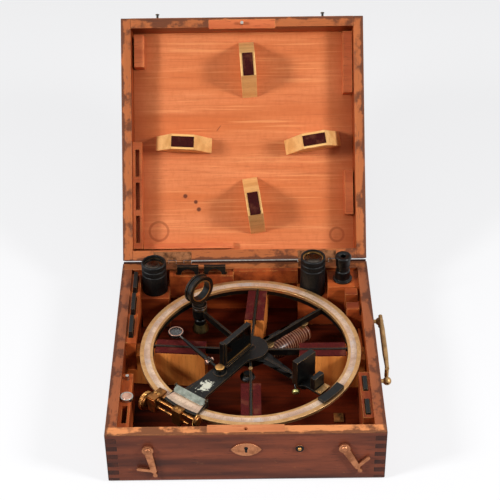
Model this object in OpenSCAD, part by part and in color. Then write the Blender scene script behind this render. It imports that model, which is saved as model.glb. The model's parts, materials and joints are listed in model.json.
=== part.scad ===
// Hydrographic circle in its fitted wooden case.
// Millimetres, +Z up. The origin is the centre of the case's underside, and the lock side faces -Y.
// The lid stands open and the circle lies in its cradles, as the set is used and shown.

/* [Case] */
// Room between the limb and the case's side boards, halved between left and right
side_room = 11.6; // [10:0.1:24]
// Room between the limb and the case's front and back boards
end_room = 11.6; // [10:0.1:24]
// Height of the lower half of the case
base_h = 75; // [72:0.5:82]
// Height of the lid
lid_h = 48; // [46:0.5:56]
// Thickness of the side boards
wall = 13; // [10:0.5:13.5]
// Thickness of the floor and of the lid's panel
board = 8; // [6:0.5:9]
// Number of fingers in a base corner joint
base_fingers = 12; // [8:2:16]
// Number of fingers in a lid corner joint
lid_fingers = 8; // [6:2:10]
// Radius of the case's rounded bottom edges
foot_round = 4; // [1:0.5:6]
// Angle that the lid stands open
lid_open = 128; // [100:1:135]

/* [Circle] */
// Outer radius of the limb
limb_r = 135.4; // [125:0.1:150]
// Radial width of the limb
limb_w = 16; // [13:0.5:18]
// Thickness of the limb's flat ring
limb_t = 4; // [3:0.25:5]
// Height of the limb's top face above the case's underside
limb_top = 64.3; // [62:0.1:66]
// Width of the silver band let into the limb
band_w = 7.4; // [5:0.1:8.5]
// Width of a spoke
spoke_w = 2.8; // [2:0.1:3.5]
// Depth of a spoke
spoke_h = 9; // [7:0.5:10]
// Radius of the wheel's hub
hub_r = 18; // [15:0.5:20]
// Radius of the index arm's axle
axle_r = 6; // [4:0.25:7]

/* [Index arm] */
// Direction of the index arm, counted anticlockwise from +X
arm_at = 232; // [228:0.5:236]
// Thickness of the index arm
arm_t = 3; // [2.5:0.25:3.5]
// Width of the index arm
arm_w = 25; // [20:0.5:28]
// Radius of the arm's round head
head_r = 22; // [19:0.5:24]
// Length of the index mirror's frame
mirror_l = 53; // [46:0.5:54]
// Height of the index mirror's frame
mirror_h = 36; // [30:0.5:37]
// Distance from the hub to the magnifier's pivot
pivot_r = 58; // [56:0.5:62]
// Reach of the magnifier from its pivot to the middle of its lens
lens_reach = 89; // [80:0.5:90]
// Radius of the magnifier's lens rim
lens_r = 9.5; // [8:0.25:10]

/* [Telescopes] */
// Radius of the bore in the telescope collar
collar_bore_r = 13.5; // [11:0.25:14.5]
// Outer radius of the telescope collar
collar_r = 18.5; // [16.5:0.1:19]
// Length of the telescope collar along its bore
collar_l = 10; // [8:0.5:13]
// Radius of a telescope's leather tube
tube_r = 16; // [14:0.25:16.25]
// Height of the left telescope's top face
left_tube_top = 100; // [90:1:102]
// Height of the right telescope's top face
right_tube_top = 106; // [96:1:110]

/* [Hardware] */
// Distance from a hook's pivot to its finger
hook_reach = 33; // [28:0.5:36]
// Distance between the two handle posts
handle_span = 112; // [90:1:130]
// Distance of the handle's pivots from the wall
handle_gap = 10; // [9:0.5:14]
// Radius of a hinge knuckle
knuckle_r = 2; // [1.75:0.05:2.2]
// Radius of a hinge pin
pin_r = 1; // [0.8:0.05:1.2]

/* [Hidden] */
$fn = 64;
fit = 0.05;
gap = 0.3;
in_x = limb_r + side_room;
in_y = limb_r + end_room;
case_w = 2*(in_x + wall);
case_d = 2*(in_y + wall);

hub = [6.2, 0];
spoke_dirs = [0, 41, 85, 128, 175, 222, 270, 318];
cradle_dirs = [0, 85, 175, 270];
cradle_from = [60, 59, 55, 61];
limb_in = limb_r - limb_w;
limb_low = limb_top - limb_t;
flange_t = 2;
flange_h = 6;
band_out = limb_r - 5.2;
band_t = 0.8;
spoke_top = limb_top - 2;
spoke_low = spoke_top - spoke_h;
hub_low = spoke_low - 4;

cradle_w = 24;
cradle_top = spoke_top - 0.6;
lining_t = 2;
floor_top = board;

arm_low = spoke_top + 0.5;
arm_top = arm_low + arm_t;
step_low = limb_top + 0.5;
step_top = step_low + 2.7;
arm_end = limb_r + 1.5;
mirror_from = -4;
eye_out = 3.2;
rod_z = arm_top + gap + eye_out + 0.1;
rod_r = 1.7;
ball_from_pivot = 20.5;
magnifier_dir = 128.2;

screw_rho = limb_r + 5;
screw_z = 54.5;
screw_r = 2;
rod2_z = 66;
rod2_r = 1.8;

pillar_dir = 128;
pillar_rho = limb_in - 15.4;
stem_r = 3;
collar_z = 92.5;
collar_dir = -45.9;
nut_low = limb_top + 0.2;
nut_h = 4.8;

horizon_spoke = spoke_dirs[7];
horizon_rho = limb_in - 34.4;
horizon_turn = 86;
horizon_w = 31;
horizon_low = 65.3;
horizon_top = 100;

hinge_x = 95;
hinge_l = 50;
leaf_t = 1.2;
leaf_w = 11;

tube_y = in_y - tube_r - 0.6;
left_tube_x = 30 - in_x;
right_tube_x = in_x - 59;
well_floor = 14;
well_wall = 3;
eyepiece_x = in_x - 20.5;
eyepiece_y = in_y - 18.5;
shelf_top = 70;
eyepiece_top = 108;

wood = [0.80, 0.47, 0.28];
dark_wood = [0.42, 0.24, 0.19];
pale_wood = [0.88, 0.69, 0.42];
brass = [0.78, 0.60, 0.34];
steel = [0.75, 0.75, 0.73];
silver = [0.85, 0.76, 0.68];
black = [0.09, 0.09, 0.10];
maroon = [0.36, 0.13, 0.13];
glass = [0.55, 0.62, 0.60];

// A square outline of w by h with two lower corners of radius r, made from exact circles.
module low_rounded(w, h, r) {
    union() {
        translate([-w/2 + r, 0]) square([w - 2*r, h]);
        translate([-w/2, r]) square([w, h - r]);
        for (s = [-1, 1]) translate([s*(w/2 - r), r]) circle(r);
    }
}

// The lower half's outer form, rounded along its bottom edges.
module base_form() {
    intersection() {
        rotate([90, 0, 0]) linear_extrude(case_d, center = true) low_rounded(case_w, base_h, foot_round);
        rotate([90, 0, 90]) linear_extrude(case_w, center = true) low_rounded(case_d, base_h, foot_round);
    }
}

// Corner fingers of a box joint: every second finger, n in all over a height h.
module fingers(n, h, first) {
    for (i = [first:2:n - 1])
        translate([0, 0, i*h/n]) children();
}

// A board along X at the front (side -1) or the back (side 1), with fingers at both ends.
module cross_board(side, h, n) {
    y0 = side > 0 ? case_d/2 - wall : -case_d/2;
    union() {
        translate([-in_x, y0, 0]) cube([2*in_x, wall, h]);
        fingers(n, h, 1) translate([-case_w/2, y0, 0]) cube([case_w, wall, h/n]);
    }
}

// The two boards along Y, with the fingers that the cross boards leave free.
module long_boards(h, n) {
    for (s = [-1, 1]) {
        x0 = s > 0 ? in_x : -case_w/2;
        union() {
            translate([x0, -in_y, 0]) cube([wall, 2*in_y, h]);
            fingers(n, h, 0) translate([x0, -case_d/2, 0]) cube([wall, case_d, h/n]);
        }
    }
}

inlay_w = 88;
inlay_t = 4;
inlay_d = 12;
inlay_in = case_d/2 - wall - 2;
peg_y = -(case_d/2 - 8.5);
peg_hole_r = 2.5;
peg_hole_depth = 14;

module inlay_seat(extra) {
    translate([-inlay_w/2, -inlay_in - inlay_d - extra, 0])
        cube([inlay_w, inlay_d + 2*extra, inlay_t]);
}

key_z = 51;
keyhole_r = 1.8;

module keyhole(depth) {
    translate([0, -case_d/2 - 2, key_z + 2]) rotate([-90, 0, 0]) cylinder(r = keyhole_r, h = depth);
    translate([-0.8, -case_d/2 - 2, key_z - 5]) cube([1.6, depth, 7]);
}

module front_board() {
    color(dark_wood) difference() {
        intersection() {
            cross_board(-1, base_h, base_fingers);
            base_form();
        }
        translate([0, 0, base_h - inlay_t]) inlay_seat(0);
        translate([0, peg_y, base_h - peg_hole_depth]) cylinder(r = peg_hole_r, h = peg_hole_depth);
        keyhole(9);
        for (s = [-1, 1]) translate([s*hook_x, -case_d/2 - 1, hook_z])
            rotate([-90, 0, 0]) cylinder(r = hook_screw_r, h = hook_screw_l + 1);
        translate([stud_x, -case_d/2 - 1, key_z + 1]) rotate([-90, 0, 0]) cylinder(r = 1.5, h = 7);
    }
}

module back_board() {
    color(dark_wood) difference() {
        intersection() {
            cross_board(1, base_h, base_fingers);
            base_form();
        }
        for (s = [-1, 1]) translate([s*hinge_x - hinge_l/2, case_d/2 - leaf_w, base_h - leaf_t])
            cube([hinge_l, leaf_w + 1, leaf_t + 1]);
    }
}

module side_boards() {
    color(dark_wood) difference() {
        intersection() {
            long_boards(base_h, base_fingers);
            base_form();
        }
        for (s = [-1, 1]) translate([case_w/2 - post_depth, handle_y + s*handle_span/2, handle_z])
            rotate([0, 90, 0]) cylinder(r = post_r, h = post_depth + 1);
    }
}

module floor_board() {
    color(wood) translate([-in_x, -in_y, 0]) cube([2*in_x, 2*in_y, board]);
}

// A radial frame at the wheel's centre, turned to direction a.
module from_hub(a) {
    translate([hub[0], hub[1], 0]) rotate([0, 0, a]) children();
}

// The space inside the side boards, down to the floor.
module case_inside(h) {
    translate([-in_x, -in_y, floor_top]) cube([2*in_x, 2*in_y, h - floor_top]);
}

groove_w = spoke_w + 1.2;
limb_clear = 0.6;

// Four wooden cradles carry the wheel at its spokes. Each is grooved for a spoke and cut low under the limb.
module cradle_blocks() {
    color(wood) for (i = [0:3]) difference() {
        intersection() {
            from_hub(cradle_dirs[i]) translate([cradle_from[i], -cradle_w/2, floor_top])
                cube([case_w, cradle_w, cradle_top - lining_t - floor_top]);
            case_inside(base_h);
        }
        from_hub(cradle_dirs[i]) translate([cradle_from[i] - 1, -groove_w/2, spoke_low - gap])
            cube([case_w, groove_w, spoke_h + 10]);
        limb_space();
        if (i == 2) translate([-in_x, 0, rack_low]) cube([rack_w, in_y, base_h]);
    }
}

// What the limb and its flange need under them, with clearance.
module limb_space() {
    from_hub(0) translate([0, 0, limb_low - flange_h - gap]) difference() {
        cylinder(r = 2*limb_r, h = base_h);
        translate([0, 0, -1]) cylinder(r = limb_in - limb_clear, h = base_h + 2);
    }
}

// Maroon linings on both sides of each groove.
module cradle_linings() {
    color(maroon) for (i = [0:3]) difference() {
        from_hub(cradle_dirs[i]) for (s = [-1, 1])
            translate([cradle_from[i], s > 0 ? groove_w/2 : -cradle_w/2, cradle_top - lining_t])
                cube([limb_in - limb_clear - cradle_from[i] - 2, (cradle_w - groove_w)/2, lining_t]);
        limb_space();
    }
}

rack_w = 12.5;
rack_low = 30;
rack_top = 73;
slot_w = 6.4;
shade_t = 5;

// One rack strip along Y against a side wall, with through slots for standing shades.
module side_rack(x0, y0, y1, z0, z1, slots, slot_l) {
    difference() {
        translate([x0, y0, z0]) cube([rack_w, y1 - y0, z1 - z0]);
        for (y = slots) translate([x0 + (rack_w - slot_w)/2, y - slot_l/2, z0 + 6])
            cube([slot_w, slot_l, z1]);
    }
}

left_slots = [in_y - 117, in_y - 73, in_y - 29];
left_slot_l = 36;
right_slots = [71.5 - in_y, 31.5 - in_y];
right_slot_l = 27;
front_slot = 30.5 - in_y;
front_slot_l = 29;
disc_y = 57 - in_y;
spare_peg_y = 91 - in_y;
spare_low = 50;
disc_r = 7.5;
disc_x = -in_x + disc_r + gap;
back_rack_x = [left_tube_x + tube_r + well_wall, left_tube_x + 102];
back_slots = [back_rack_x[0] + 24, back_rack_x[0] + 59];
back_slot_l = 31;
back_rack_d = 13;
stop_y = [in_y - 76, in_y - 47];
bore_cut = 60;

module accessory_racks() {
    color(wood) {
        side_rack(-in_x, in_y - 145, in_y - 7, rack_low, rack_top, left_slots, left_slot_l);
        side_rack(in_x - rack_w, 13 - in_y, 91 - in_y, rack_low, rack_top, right_slots, right_slot_l);
        difference() {
            side_rack(-in_x, -in_y, 101 - in_y, rack_low - 6, rack_top - 7, [front_slot], front_slot_l);
            translate([disc_x, disc_y, spare_low]) cylinder(r = 4.2, h = 20);
            translate([-in_x + rack_w/2, spare_peg_y, spare_low]) cylinder(r = 2.2, h = 20);
        }
        difference() {
            translate([back_rack_x[0], in_y - back_rack_d, 38])
                cube([back_rack_x[1] - back_rack_x[0], back_rack_d, rack_top - 38]);
            for (x = back_slots) translate([x - back_slot_l/2, in_y - back_rack_d + 3.2, 44])
                cube([back_slot_l, slot_w, 40]);
        }
        translate([back_rack_x[1], in_y - 6, limb_low - flange_h])
            cube([right_tube_x - tube_r - well_wall - back_rack_x[1], 6, base_h - limb_low + flange_h]);
    }
}

// A telescope's well is open towards the case's back board.
module tube_well(x) {
    translate([x, tube_y, well_floor]) {
        cylinder(r = tube_r + 0.4, h = bore_cut);
        translate([-tube_r, 0, 0]) cube([2*tube_r, in_y - tube_y + 1, bore_cut]);
    }
}

// Bored blocks in the back corners hold the telescopes and the eyepiece; two small stops stand at the right wall.
module telescope_wells() {
    color(wood) {
        difference() {
            translate([-in_x + rack_w, in_y - 37, floor_top])
                cube([left_tube_x + tube_r + well_wall + in_x - rack_w, 37, 56 - floor_top]);
            tube_well(left_tube_x);
        }
        difference() {
            translate([right_tube_x - tube_r - well_wall, in_y - 35.5, floor_top])
                cube([2*(tube_r + well_wall), 35.5, 50 - floor_top]);
            tube_well(right_tube_x);
        }
        difference() {
            translate([right_tube_x + tube_r + well_wall, in_y - 35.5, floor_top])
                cube([in_x - right_tube_x - tube_r - well_wall, 35.5, shelf_top - floor_top]);
            translate([eyepiece_x, eyepiece_y, 40]) cylinder(r = eyepiece_spigot_r + 0.4, h = bore_cut);
        }
        for (y = stop_y) translate([in_x - 19, y - 7, 40]) cube([16, 14, 32]);
        for (y = stop_y) translate([in_x - 3, y - 7, 40]) cube([3, 14, 20]);
    }
}

module lock_inlay() {
    color(wood) difference() {
        translate([0, 0, base_h - inlay_t]) inlay_seat(0);
        translate([0, peg_y, base_h - inlay_t - 1]) cylinder(r = peg_hole_r, h = inlay_t + 2);
    }
}

plate_t = 1.2;

// An almond outline: two arcs of radius r that meet at the ends of a length l.
module almond(l, r) {
    h = sqrt(r*r - l*l/4);
    intersection() {
        translate([0, -h]) circle(r);
        translate([0, h]) circle(r);
    }
}

module escutcheon() {
    color(brass) difference() {
        translate([0, -case_d/2, key_z]) rotate([90, 0, 0]) linear_extrude(plate_t) almond(35, 20.5);
        keyhole(9);
    }
}

hook_x = 112;
hook_z = 53;
hook_screw_r = 2;
hook_screw_l = 9;
hook_t = 2.4;
hook_off = 1.4;
stud_x = 61;

// Round-headed screw that points into the front board.
module front_screw(x, z, head, shank, length, stand) {
    translate([x, -case_d/2, z]) rotate([-90, 0, 0]) {
        translate([0, 0, -stand]) cylinder(r = shank, h = length + stand);
        translate([0, 0, -stand - 1.2]) cylinder(r1 = head*0.75, r2 = head, h = 1.2);
    }
}

module front_screws() {
    color(brass) {
        for (s = [-1, 1]) {
            front_screw(s*hook_x, hook_z, 4, hook_screw_r, hook_screw_l, hook_off + hook_t + gap);
            translate([s*hook_x, -case_d/2 - hook_off + gap, hook_z]) rotate([-90, 0, 0])
                difference() {
                    cylinder(r = 4.5, h = hook_off - gap);
                    translate([0, 0, -1]) cylinder(r = hook_screw_r, h = hook_off + 2);
                }
        }
        front_screw(stud_x, key_z + 1, 4.5, 1.5, 6, 0);
    }
}

handle_z = 52;
handle_y = 7;
post_r = 2.5;
post_depth = 9;
ball_r = 5.2;
bail_rise = 14;
bail_r = 3.4;
eye_r = 1.6;

// Two posts screwed into the right wall end in balls that carry the bail.
module handle_posts() {
    color(brass) for (s = [-1, 1]) translate([case_w/2, handle_y + s*handle_span/2, handle_z]) {
        translate([-post_depth, 0, 0]) rotate([0, 90, 0]) cylinder(r = post_r, h = post_depth + handle_gap - ball_r + 1);
        difference() {
            translate([handle_gap, 0, 0]) sphere(ball_r);
            translate([handle_gap, -ball_r - 1, 0]) rotate([-90, 0, 0])
                cylinder(r = eye_r + fit, h = 2*ball_r + 2);
        }
        post_flange();
    }
}

module post_flange() {
    rotate([0, 90, 0]) difference() {
        cylinder(r = 5, h = 1.6);
        translate([0, 0, -1]) cylinder(r = post_r, h = 4);
    }
}

// The bail: a swelling bar between two short arms, each arm with a pin that runs in a post's ball.
module bail_handle() {
    half = handle_span/2 - ball_r - 4;
    color(brass) translate([case_w/2 + handle_gap, handle_y, handle_z]) {
        translate([0, 0, bail_rise]) rotate([90, 0, 0]) rotate_extrude()
            polygon([[0, -half - 3], [2.6, -half - 3], [2.6, -half + 4], [bail_r, -half/2], [bail_r, half/2],
                [2.6, half - 4], [2.6, half + 3], [0, half + 3]]);
        for (s = [-1, 1]) translate([0, s*half, 0]) {
            cylinder(r = 2.6, h = bail_rise);
            sphere(2.6);
            rotate([-90*s, 0, 0]) cylinder(r = eye_r, h = ball_r + 6);
        }
    }
}

// A flat hook hanging from its eye: arm, a finger that leans back to the eye, and a knob below it.
module hook_form() {
    rotate([90, 0, 0]) linear_extrude(hook_t) difference() {
        union() {
            circle(6.5);
            polygon([[-4.5, 0], [4.5, 0], [3.2, -hook_reach], [-3.2, -hook_reach]]);
            translate([0, -hook_reach]) circle(3.2);
            translate([0, -hook_reach]) rotate(160) translate([0, -2]) square([18, 4]);
            translate([0, -hook_reach]) rotate(160) translate([18, 0]) circle(2);
            translate([-1.5, -hook_reach - 7]) square([3, 7]);
            translate([0, -hook_reach - 7]) circle(2.6);
        }
        circle(hook_screw_r + fit);
    }
}

module left_hook() {
    color(brass) translate([-hook_x, -case_d/2 - hook_off, hook_z]) rotate([0, -10, 0]) hook_form();
}

module right_hook() {
    color(brass) translate([hook_x, -case_d/2 - hook_off, hook_z]) rotate([0, -28, 0])
        mirror([1, 0, 0]) hook_form();
}

seam = 0.3;
hinge_out = case_d/2 + knuckle_r + 0.3;
hinge_z = base_h + seam/2;
knuckles = 5;
knuckle_l = hinge_l/knuckles;

// Every n-th knuckle of one hinge, with a running gap at each end.
module knuckle_row(first) {
    for (i = [first:2:knuckles - 1]) translate([-hinge_l/2 + i*knuckle_l + 0.15, 0, 0])
        rotate([0, 90, 0]) cylinder(r = knuckle_r, h = knuckle_l - 0.3);
}

// One leaf with its knuckles; low is the leaf's underside against the axis.
module hinge_leaf(first, low) {
    difference() {
        union() {
            translate([-hinge_l/2, -leaf_w - knuckle_r - 0.3, low]) cube([hinge_l, leaf_w - 0.3, leaf_t]);
            for (i = [first:2:knuckles - 1]) translate([-hinge_l/2 + i*knuckle_l + 0.15, -leaf_w, low])
                cube([knuckle_l - 0.3, leaf_w, leaf_t]);
            knuckle_row(first);
        }
        translate([-hinge_l, 0, 0]) rotate([0, 90, 0]) cylinder(r = pin_r + fit, h = 2*hinge_l);
    }
}

module hinge_leaves() {
    color(brass) for (s = [-1, 1]) translate([s*hinge_x, hinge_out, hinge_z])
        hinge_leaf(0, base_h - leaf_t - hinge_z);
}

module hinge_pins() {
    color(steel) for (s = [-1, 1]) translate([s*hinge_x - hinge_l/2 - 0.8, hinge_out, hinge_z]) rotate([0, 90, 0]) {
        cylinder(r = pin_r, h = hinge_l + 1.6);
        cylinder(r = pin_r + 0.5, h = 0.7);
        translate([0, 0, hinge_l + 0.9]) cylinder(r = pin_r + 0.5, h = 0.7);
    }
}

// A coloured glass in a square black frame, standing in a slot: its lower edge at z0, its width along Y.
module shade(l, h) {
    translate([-shade_t/2, -l/2, 0]) cube([shade_t, l, h]);
}

shade_side = 26;

module stowed_shades() {
    z0 = rack_low + 6 + gap;
    color(black) {
        for (y = left_slots) translate([-in_x + rack_w/2, y, z0]) shade(left_slot_l - 3, 45);
        for (y = right_slots) translate([in_x - rack_w/2, y, z0]) shade(right_slot_l - 3, 38);
        for (x = back_slots) translate([x, in_y - back_rack_d + 3.2 + slot_w/2, 44 + gap]) rotate([0, 0, 90])
            difference() {
                shade(back_slot_l - 3, 41);
                translate([-shade_t, 0, 41 - shade_side/2]) rotate([0, 90, 0]) cylinder(r = 9, h = 2*shade_t);
            }
    }
}

// A milled disc on its stem and a bare pin, kept in the left rack, with a small brass key on the floor.
module spare_pieces() {
    color(steel) translate([0, 0, spare_low + gap]) {
        translate([disc_x, disc_y, 0]) cylinder(r = 4, h = 16);
        translate([disc_x, disc_y, 16]) cylinder(r = disc_r, h = 4);
        translate([-in_x + rack_w/2, spare_peg_y, 0]) cylinder(r = 2, h = 22);
    }
    color(brass) translate([in_x - 32, 25 - in_y, floor_top]) {
        cylinder(r = 5, h = 3);
        cylinder(r = 2.4, h = 12);
    }
}

// The lid is drawn closed and swung open about its hinges.
module open_lid() {
    translate([0, hinge_out, hinge_z]) rotate([-lid_open, 0, 0]) translate([0, -hinge_out, -hinge_z]) children();
}

lid_low = base_h + seam;
lid_top = lid_low + lid_h;
panel_low = lid_top - board;

module lid_form() {
    translate([0, 0, lid_top]) mirror([0, 0, 1]) intersection() {
        rotate([90, 0, 0]) linear_extrude(case_d, center = true) low_rounded(case_w, lid_h, foot_round);
        rotate([90, 0, 90]) linear_extrude(case_w, center = true) low_rounded(case_d, lid_h, foot_round);
    }
}

module lid_front_board() {
    color(dark_wood) open_lid() difference() {
        intersection() {
            translate([0, 0, lid_low]) cross_board(-1, lid_h, lid_fingers);
            lid_form();
        }
        translate([0, 0, lid_low]) inlay_seat(0);
        for (x = stud_places) translate([x, -case_d/2 - 1, stud_z]) rotate([-90, 0, 0])
            cylinder(r = 1.5, h = 7);
    }
}

module lid_back_board() {
    color(dark_wood) open_lid() difference() {
        intersection() {
            translate([0, 0, lid_low]) cross_board(1, lid_h, lid_fingers);
            lid_form();
        }
        for (s = [-1, 1]) translate([s*hinge_x - hinge_l/2, case_d/2 - leaf_w, lid_low - 1])
            cube([hinge_l, leaf_w + 1, leaf_t + 1]);
    }
}

module lid_side_boards() {
    color(dark_wood) open_lid() intersection() {
        translate([0, 0, lid_low]) long_boards(lid_h, lid_fingers);
        lid_form();
    }
}

module lid_panel() {
    color(wood) open_lid() translate([-in_x, -in_y, panel_low]) cube([2*in_x, 2*in_y, board]);
}

module lid_hinge_leaves() {
    color(brass) open_lid() for (s = [-1, 1]) translate([s*hinge_x, hinge_out, hinge_z])
        hinge_leaf(1, lid_low - hinge_z);
}

pad_t = 2;
pad_l = 30;
pad_w = 14;
block_l = 75;
block_w = 20;
rest_z = spoke_top + gap;
rod_clear_z = rod_z + rod_r + 0.8;
hold_downs = [[7.3, -96, 90 - 3.5, rest_z], [13, 87, 90 - 8.5, rest_z], [-80, 4, 3, rod_clear_z],
    [93, 4, -9, rest_z]];

// A tapered block hangs from the lid over each cradle and ends in a dark pad.
module hold_down_blocks() {
    color(pale_wood) open_lid() for (b = hold_downs) {
        low = b[3] + pad_t;
        translate([b[0], b[1], 0]) rotate([0, 0, b[2]]) translate([0, block_w/2, 0]) rotate([90, 0, 0])
            linear_extrude(block_w) polygon([[-block_l/2, panel_low], [-pad_l/2, low], [pad_l/2, low],
                [block_l/2, panel_low]]);
    }
}

module hold_down_pads() {
    color(maroon) open_lid() for (b = hold_downs)
        translate([b[0], b[1], b[3]]) rotate([0, 0, b[2]]) translate([-pad_l/2, -pad_w/2, 0])
            cube([pad_l, pad_w, pad_t]);
}

strip_low = 92;

module strip(x0, x1, y0, y1, z0) {
    translate([x0, y0, z0]) cube([x1 - x0, y1 - y0, panel_low - z0]);
}

// Strips on the lid's inside that hold the stowed pieces down, and the lock's inlay.
module lid_strips() {
    color(dark_wood) open_lid() {
        strip(in_x - 13, in_x - 1, 4 - in_y, 86 - in_y, strip_low);
        strip(in_x - 13, in_x - 2, in_y - 105, in_y - 46, strip_low);
        difference() {
            strip(-in_x, -in_x + 11.5, in_y - 145, in_y - 3, strip_low);
            for (y = left_slots) translate([-in_x + 3, y - left_slot_l/2, strip_low - 1]) cube([5.5, left_slot_l, 14]);
        }
        strip(-in_x + 3, -in_x + 16, 6 - in_y, 49 - in_y, strip_low);
        strip(12 - in_x, 132 - in_x, in_y - 11, in_y - 3, panel_low - 9);
        difference() {
            translate([0, 0, lid_low]) inlay_seat(0);
            translate([0, peg_y, lid_low]) cylinder(r = peg_r, h = inlay_t);
        }
    }
}

peg_r = 2.1;
peg_out = 8;

module lock_peg() {
    color(steel) open_lid() translate([0, peg_y, lid_low - peg_out]) {
        cylinder(r = peg_r, h = peg_out + inlay_t);
    }
}

stud_places = [-hook_x, 107];
stud_z = 85;

module hook_studs() {
    color(brass) open_lid() for (x = stud_places) translate([x, -case_d/2, stud_z]) rotate([-90, 0, 0]) {
        translate([0, 0, -6]) cylinder(r = 1.5, h = 12);
        translate([0, 0, -7]) cylinder(r1 = 2.2, r2 = 2.8, h = 1.2);
    }
}

// The wheel: a black rim flange, eight deep ribs and a hub with the axle's bore.
module wheel_frame() {
    color(black) difference() {
        union() {
            from_hub(0) {
                translate([0, 0, limb_low - flange_h]) difference() {
                    cylinder(r = limb_in + flange_t, h = flange_h, $fn = 128);
                    translate([0, 0, -1]) cylinder(r = limb_in, h = flange_h + 2, $fn = 128);
                }
                translate([0, 0, hub_low]) cylinder(r = hub_r, h = spoke_top - hub_low);
                translate([0, 0, hub_low - 2]) cylinder(r = hub_r - 5, h = 3);
            }
            for (a = spoke_dirs) from_hub(a) {
                translate([hub_r - 3, -spoke_w/2, spoke_low])
                    cube([limb_in - hub_r + 4, spoke_w, limb_low - spoke_low]);
                translate([hub_r - 3, -spoke_w/2, limb_low - 1])
                    cube([limb_in - hub_r + 2.7, spoke_w, spoke_top - limb_low + 1]);
            }
            from_hub(pillar_dir) translate([pillar_rho, 0, boss_low]) cylinder(r = 9.5, h = boss_top - boss_low);
            from_hub(horizon_spoke) translate([horizon_rho, 0, spoke_low]) cylinder(r = 7, h = spoke_h);
        }
        from_hub(0) translate([0, 0, hub_low - 5]) cylinder(r = axle_r + fit, h = 40);
        from_hub(pillar_dir) translate([pillar_rho, 0, spoke_low - 1]) cylinder(r = sleeve_r, h = spoke_h + 2);
        from_hub(horizon_spoke) translate([horizon_rho, 0, spoke_low - 1]) cylinder(r = 3 + fit, h = spoke_h + 2);
    }
}

module ring(r_in, r_out, h) {
    difference() {
        cylinder(r = r_out, h = h, $fn = 128);
        translate([0, 0, -1]) cylinder(r = r_in, h = h + 2, $fn = 128);
    }
}

module limb_ring() {
    color(brass) from_hub(0) translate([0, 0, limb_low]) difference() {
        ring(limb_in, limb_r, limb_t);
        translate([0, 0, limb_t - band_t]) ring(band_out - band_w, band_out, 2);
    }
}

module silver_scale() {
    color(silver) from_hub(0) translate([0, 0, limb_top - band_t]) ring(band_out - band_w, band_out, band_t);
}

grip_dir = 43;
grip_z = 35;
grip_from = 24;
grip_l = limb_in - grip_from - 21.4;
grip_r = 13.5;
post_rho = [grip_from + 7, grip_from + grip_l - 7];
grip_post_r = 3.5;

// Half outline of the turned grip, beads at both ends and ring grooves around its middle.
module grip_outline() {
    difference() {
        union() {
            translate([0, 3]) square([grip_r - 3, grip_l - 6]);
            square([grip_r - 5, grip_l]);
            for (z = [4.5, grip_l - 4.5]) translate([grip_r - 4.5, z]) circle(3);
            intersection() {
                translate([grip_r - 90, grip_l/2]) circle(90, $fn = 256);
                translate([0, 9]) square([grip_r, grip_l - 18]);
            }
        }
        translate([-200, 0]) square([200, grip_l]);
        for (z = [-5, 0, 5]) translate([grip_r + 0.3, grip_l/2 + z]) circle(1.1);
    }
}

module grip() {
    color(wood) difference() {
        from_hub(grip_dir) translate([grip_from, 0, grip_z]) rotate([0, 90, 0]) rotate_extrude() grip_outline();
        grip_bores(grip_post_r);
    }
}

module grip_bores(r) {
    for (x = post_rho) from_hub(grip_dir) translate([x, 0, grip_z]) cylinder(r = r, h = spoke_low - grip_z - 2);
}

// Two brass posts rise from the grip and end in cross plates under the ribs.
module grip_posts() {
    color(brass) {
        grip_bores(grip_post_r);
        for (x = post_rho) from_hub(grip_dir) translate([x, 0, spoke_low - 2.5]) cylinder(r = 7, h = 2.5);
    }
}

sleeve_r = 6;
boss_low = spoke_low - 0.6;
boss_top = spoke_top + 0.3;
sleeve_top = limb_top - 0.3;

module at_pillar() {
    from_hub(pillar_dir) translate([pillar_rho, 0, 0]) children();
}

// The black sleeve through the wheel, in which the collar's stem slides.
module pillar_sleeve() {
    color(black) at_pillar() difference() {
        union() {
            translate([0, 0, 46]) cylinder(r = sleeve_r, h = sleeve_top - 46);
            translate([0, 0, boss_top]) cylinder(r = 9, h = sleeve_top - boss_top);
            translate([0, 0, 48]) cylinder(r = 9, h = boss_low - 48);
        }
        translate([0, 0, 40]) cylinder(r = stem_r + fit, h = 40);
    }
}

// The brass bell foot below the sleeve.
module pillar_foot() {
    color(brass) at_pillar() difference() {
        rotate_extrude() polygon([[0, 27], [3.5, 27], [4.6, 29], [3.6, 31.5], [5.5, 34], [7.5, 39], [7.5, 45],
            [6.4, 46], [0, 46]]);
        translate([0, 0, 34]) cylinder(r = stem_r + fit, h = 20);
    }
}

// The collar: a ring for a telescope, on a stem that rises out of the sleeve.
module collar() {
    color(brass) at_pillar() {
        difference() {
            union() {
                translate([0, 0, collar_z]) rotate([90, 0, collar_dir - pillar_dir + 90])
                    translate([0, 0, -collar_l/2]) cylinder(r = collar_r, h = collar_l);
                translate([0, 0, nut_low + nut_h + gap]) cylinder(r1 = 6, r2 = 4.2, h = 5);
                translate([0, 0, nut_low + nut_h + gap]) cylinder(r = 4.2, h = collar_z - collar_r - 68);
            }
            translate([0, 0, collar_z]) rotate([90, 0, collar_dir - pillar_dir + 90])
                translate([0, 0, -collar_l]) cylinder(r = collar_bore_r, h = 2*collar_l);
        }
        translate([0, 0, 36]) cylinder(r = stem_r, h = nut_low + nut_h + 2 - 36);
    }
}

// A milled nut between the sleeve and the collar lifts the stem.
module collar_nut() {
    color(brass) at_pillar() translate([0, 0, nut_low]) difference() {
        union() {
            cylinder(r = 9.2, h = 1.2);
            translate([0, 0, 1.2]) cylinder(r = 8.6, h = nut_h - 2.4);
            translate([0, 0, nut_h - 1.2]) cylinder(r = 9.2, h = 1.2);
        }
        translate([0, 0, -1]) cylinder(r = stem_r + fit, h = nut_h + 2);
    }
}

module at_horizon() {
    from_hub(horizon_spoke) translate([horizon_rho, 0, 0]) children();
}

bracket_t = 2.4;

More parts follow.
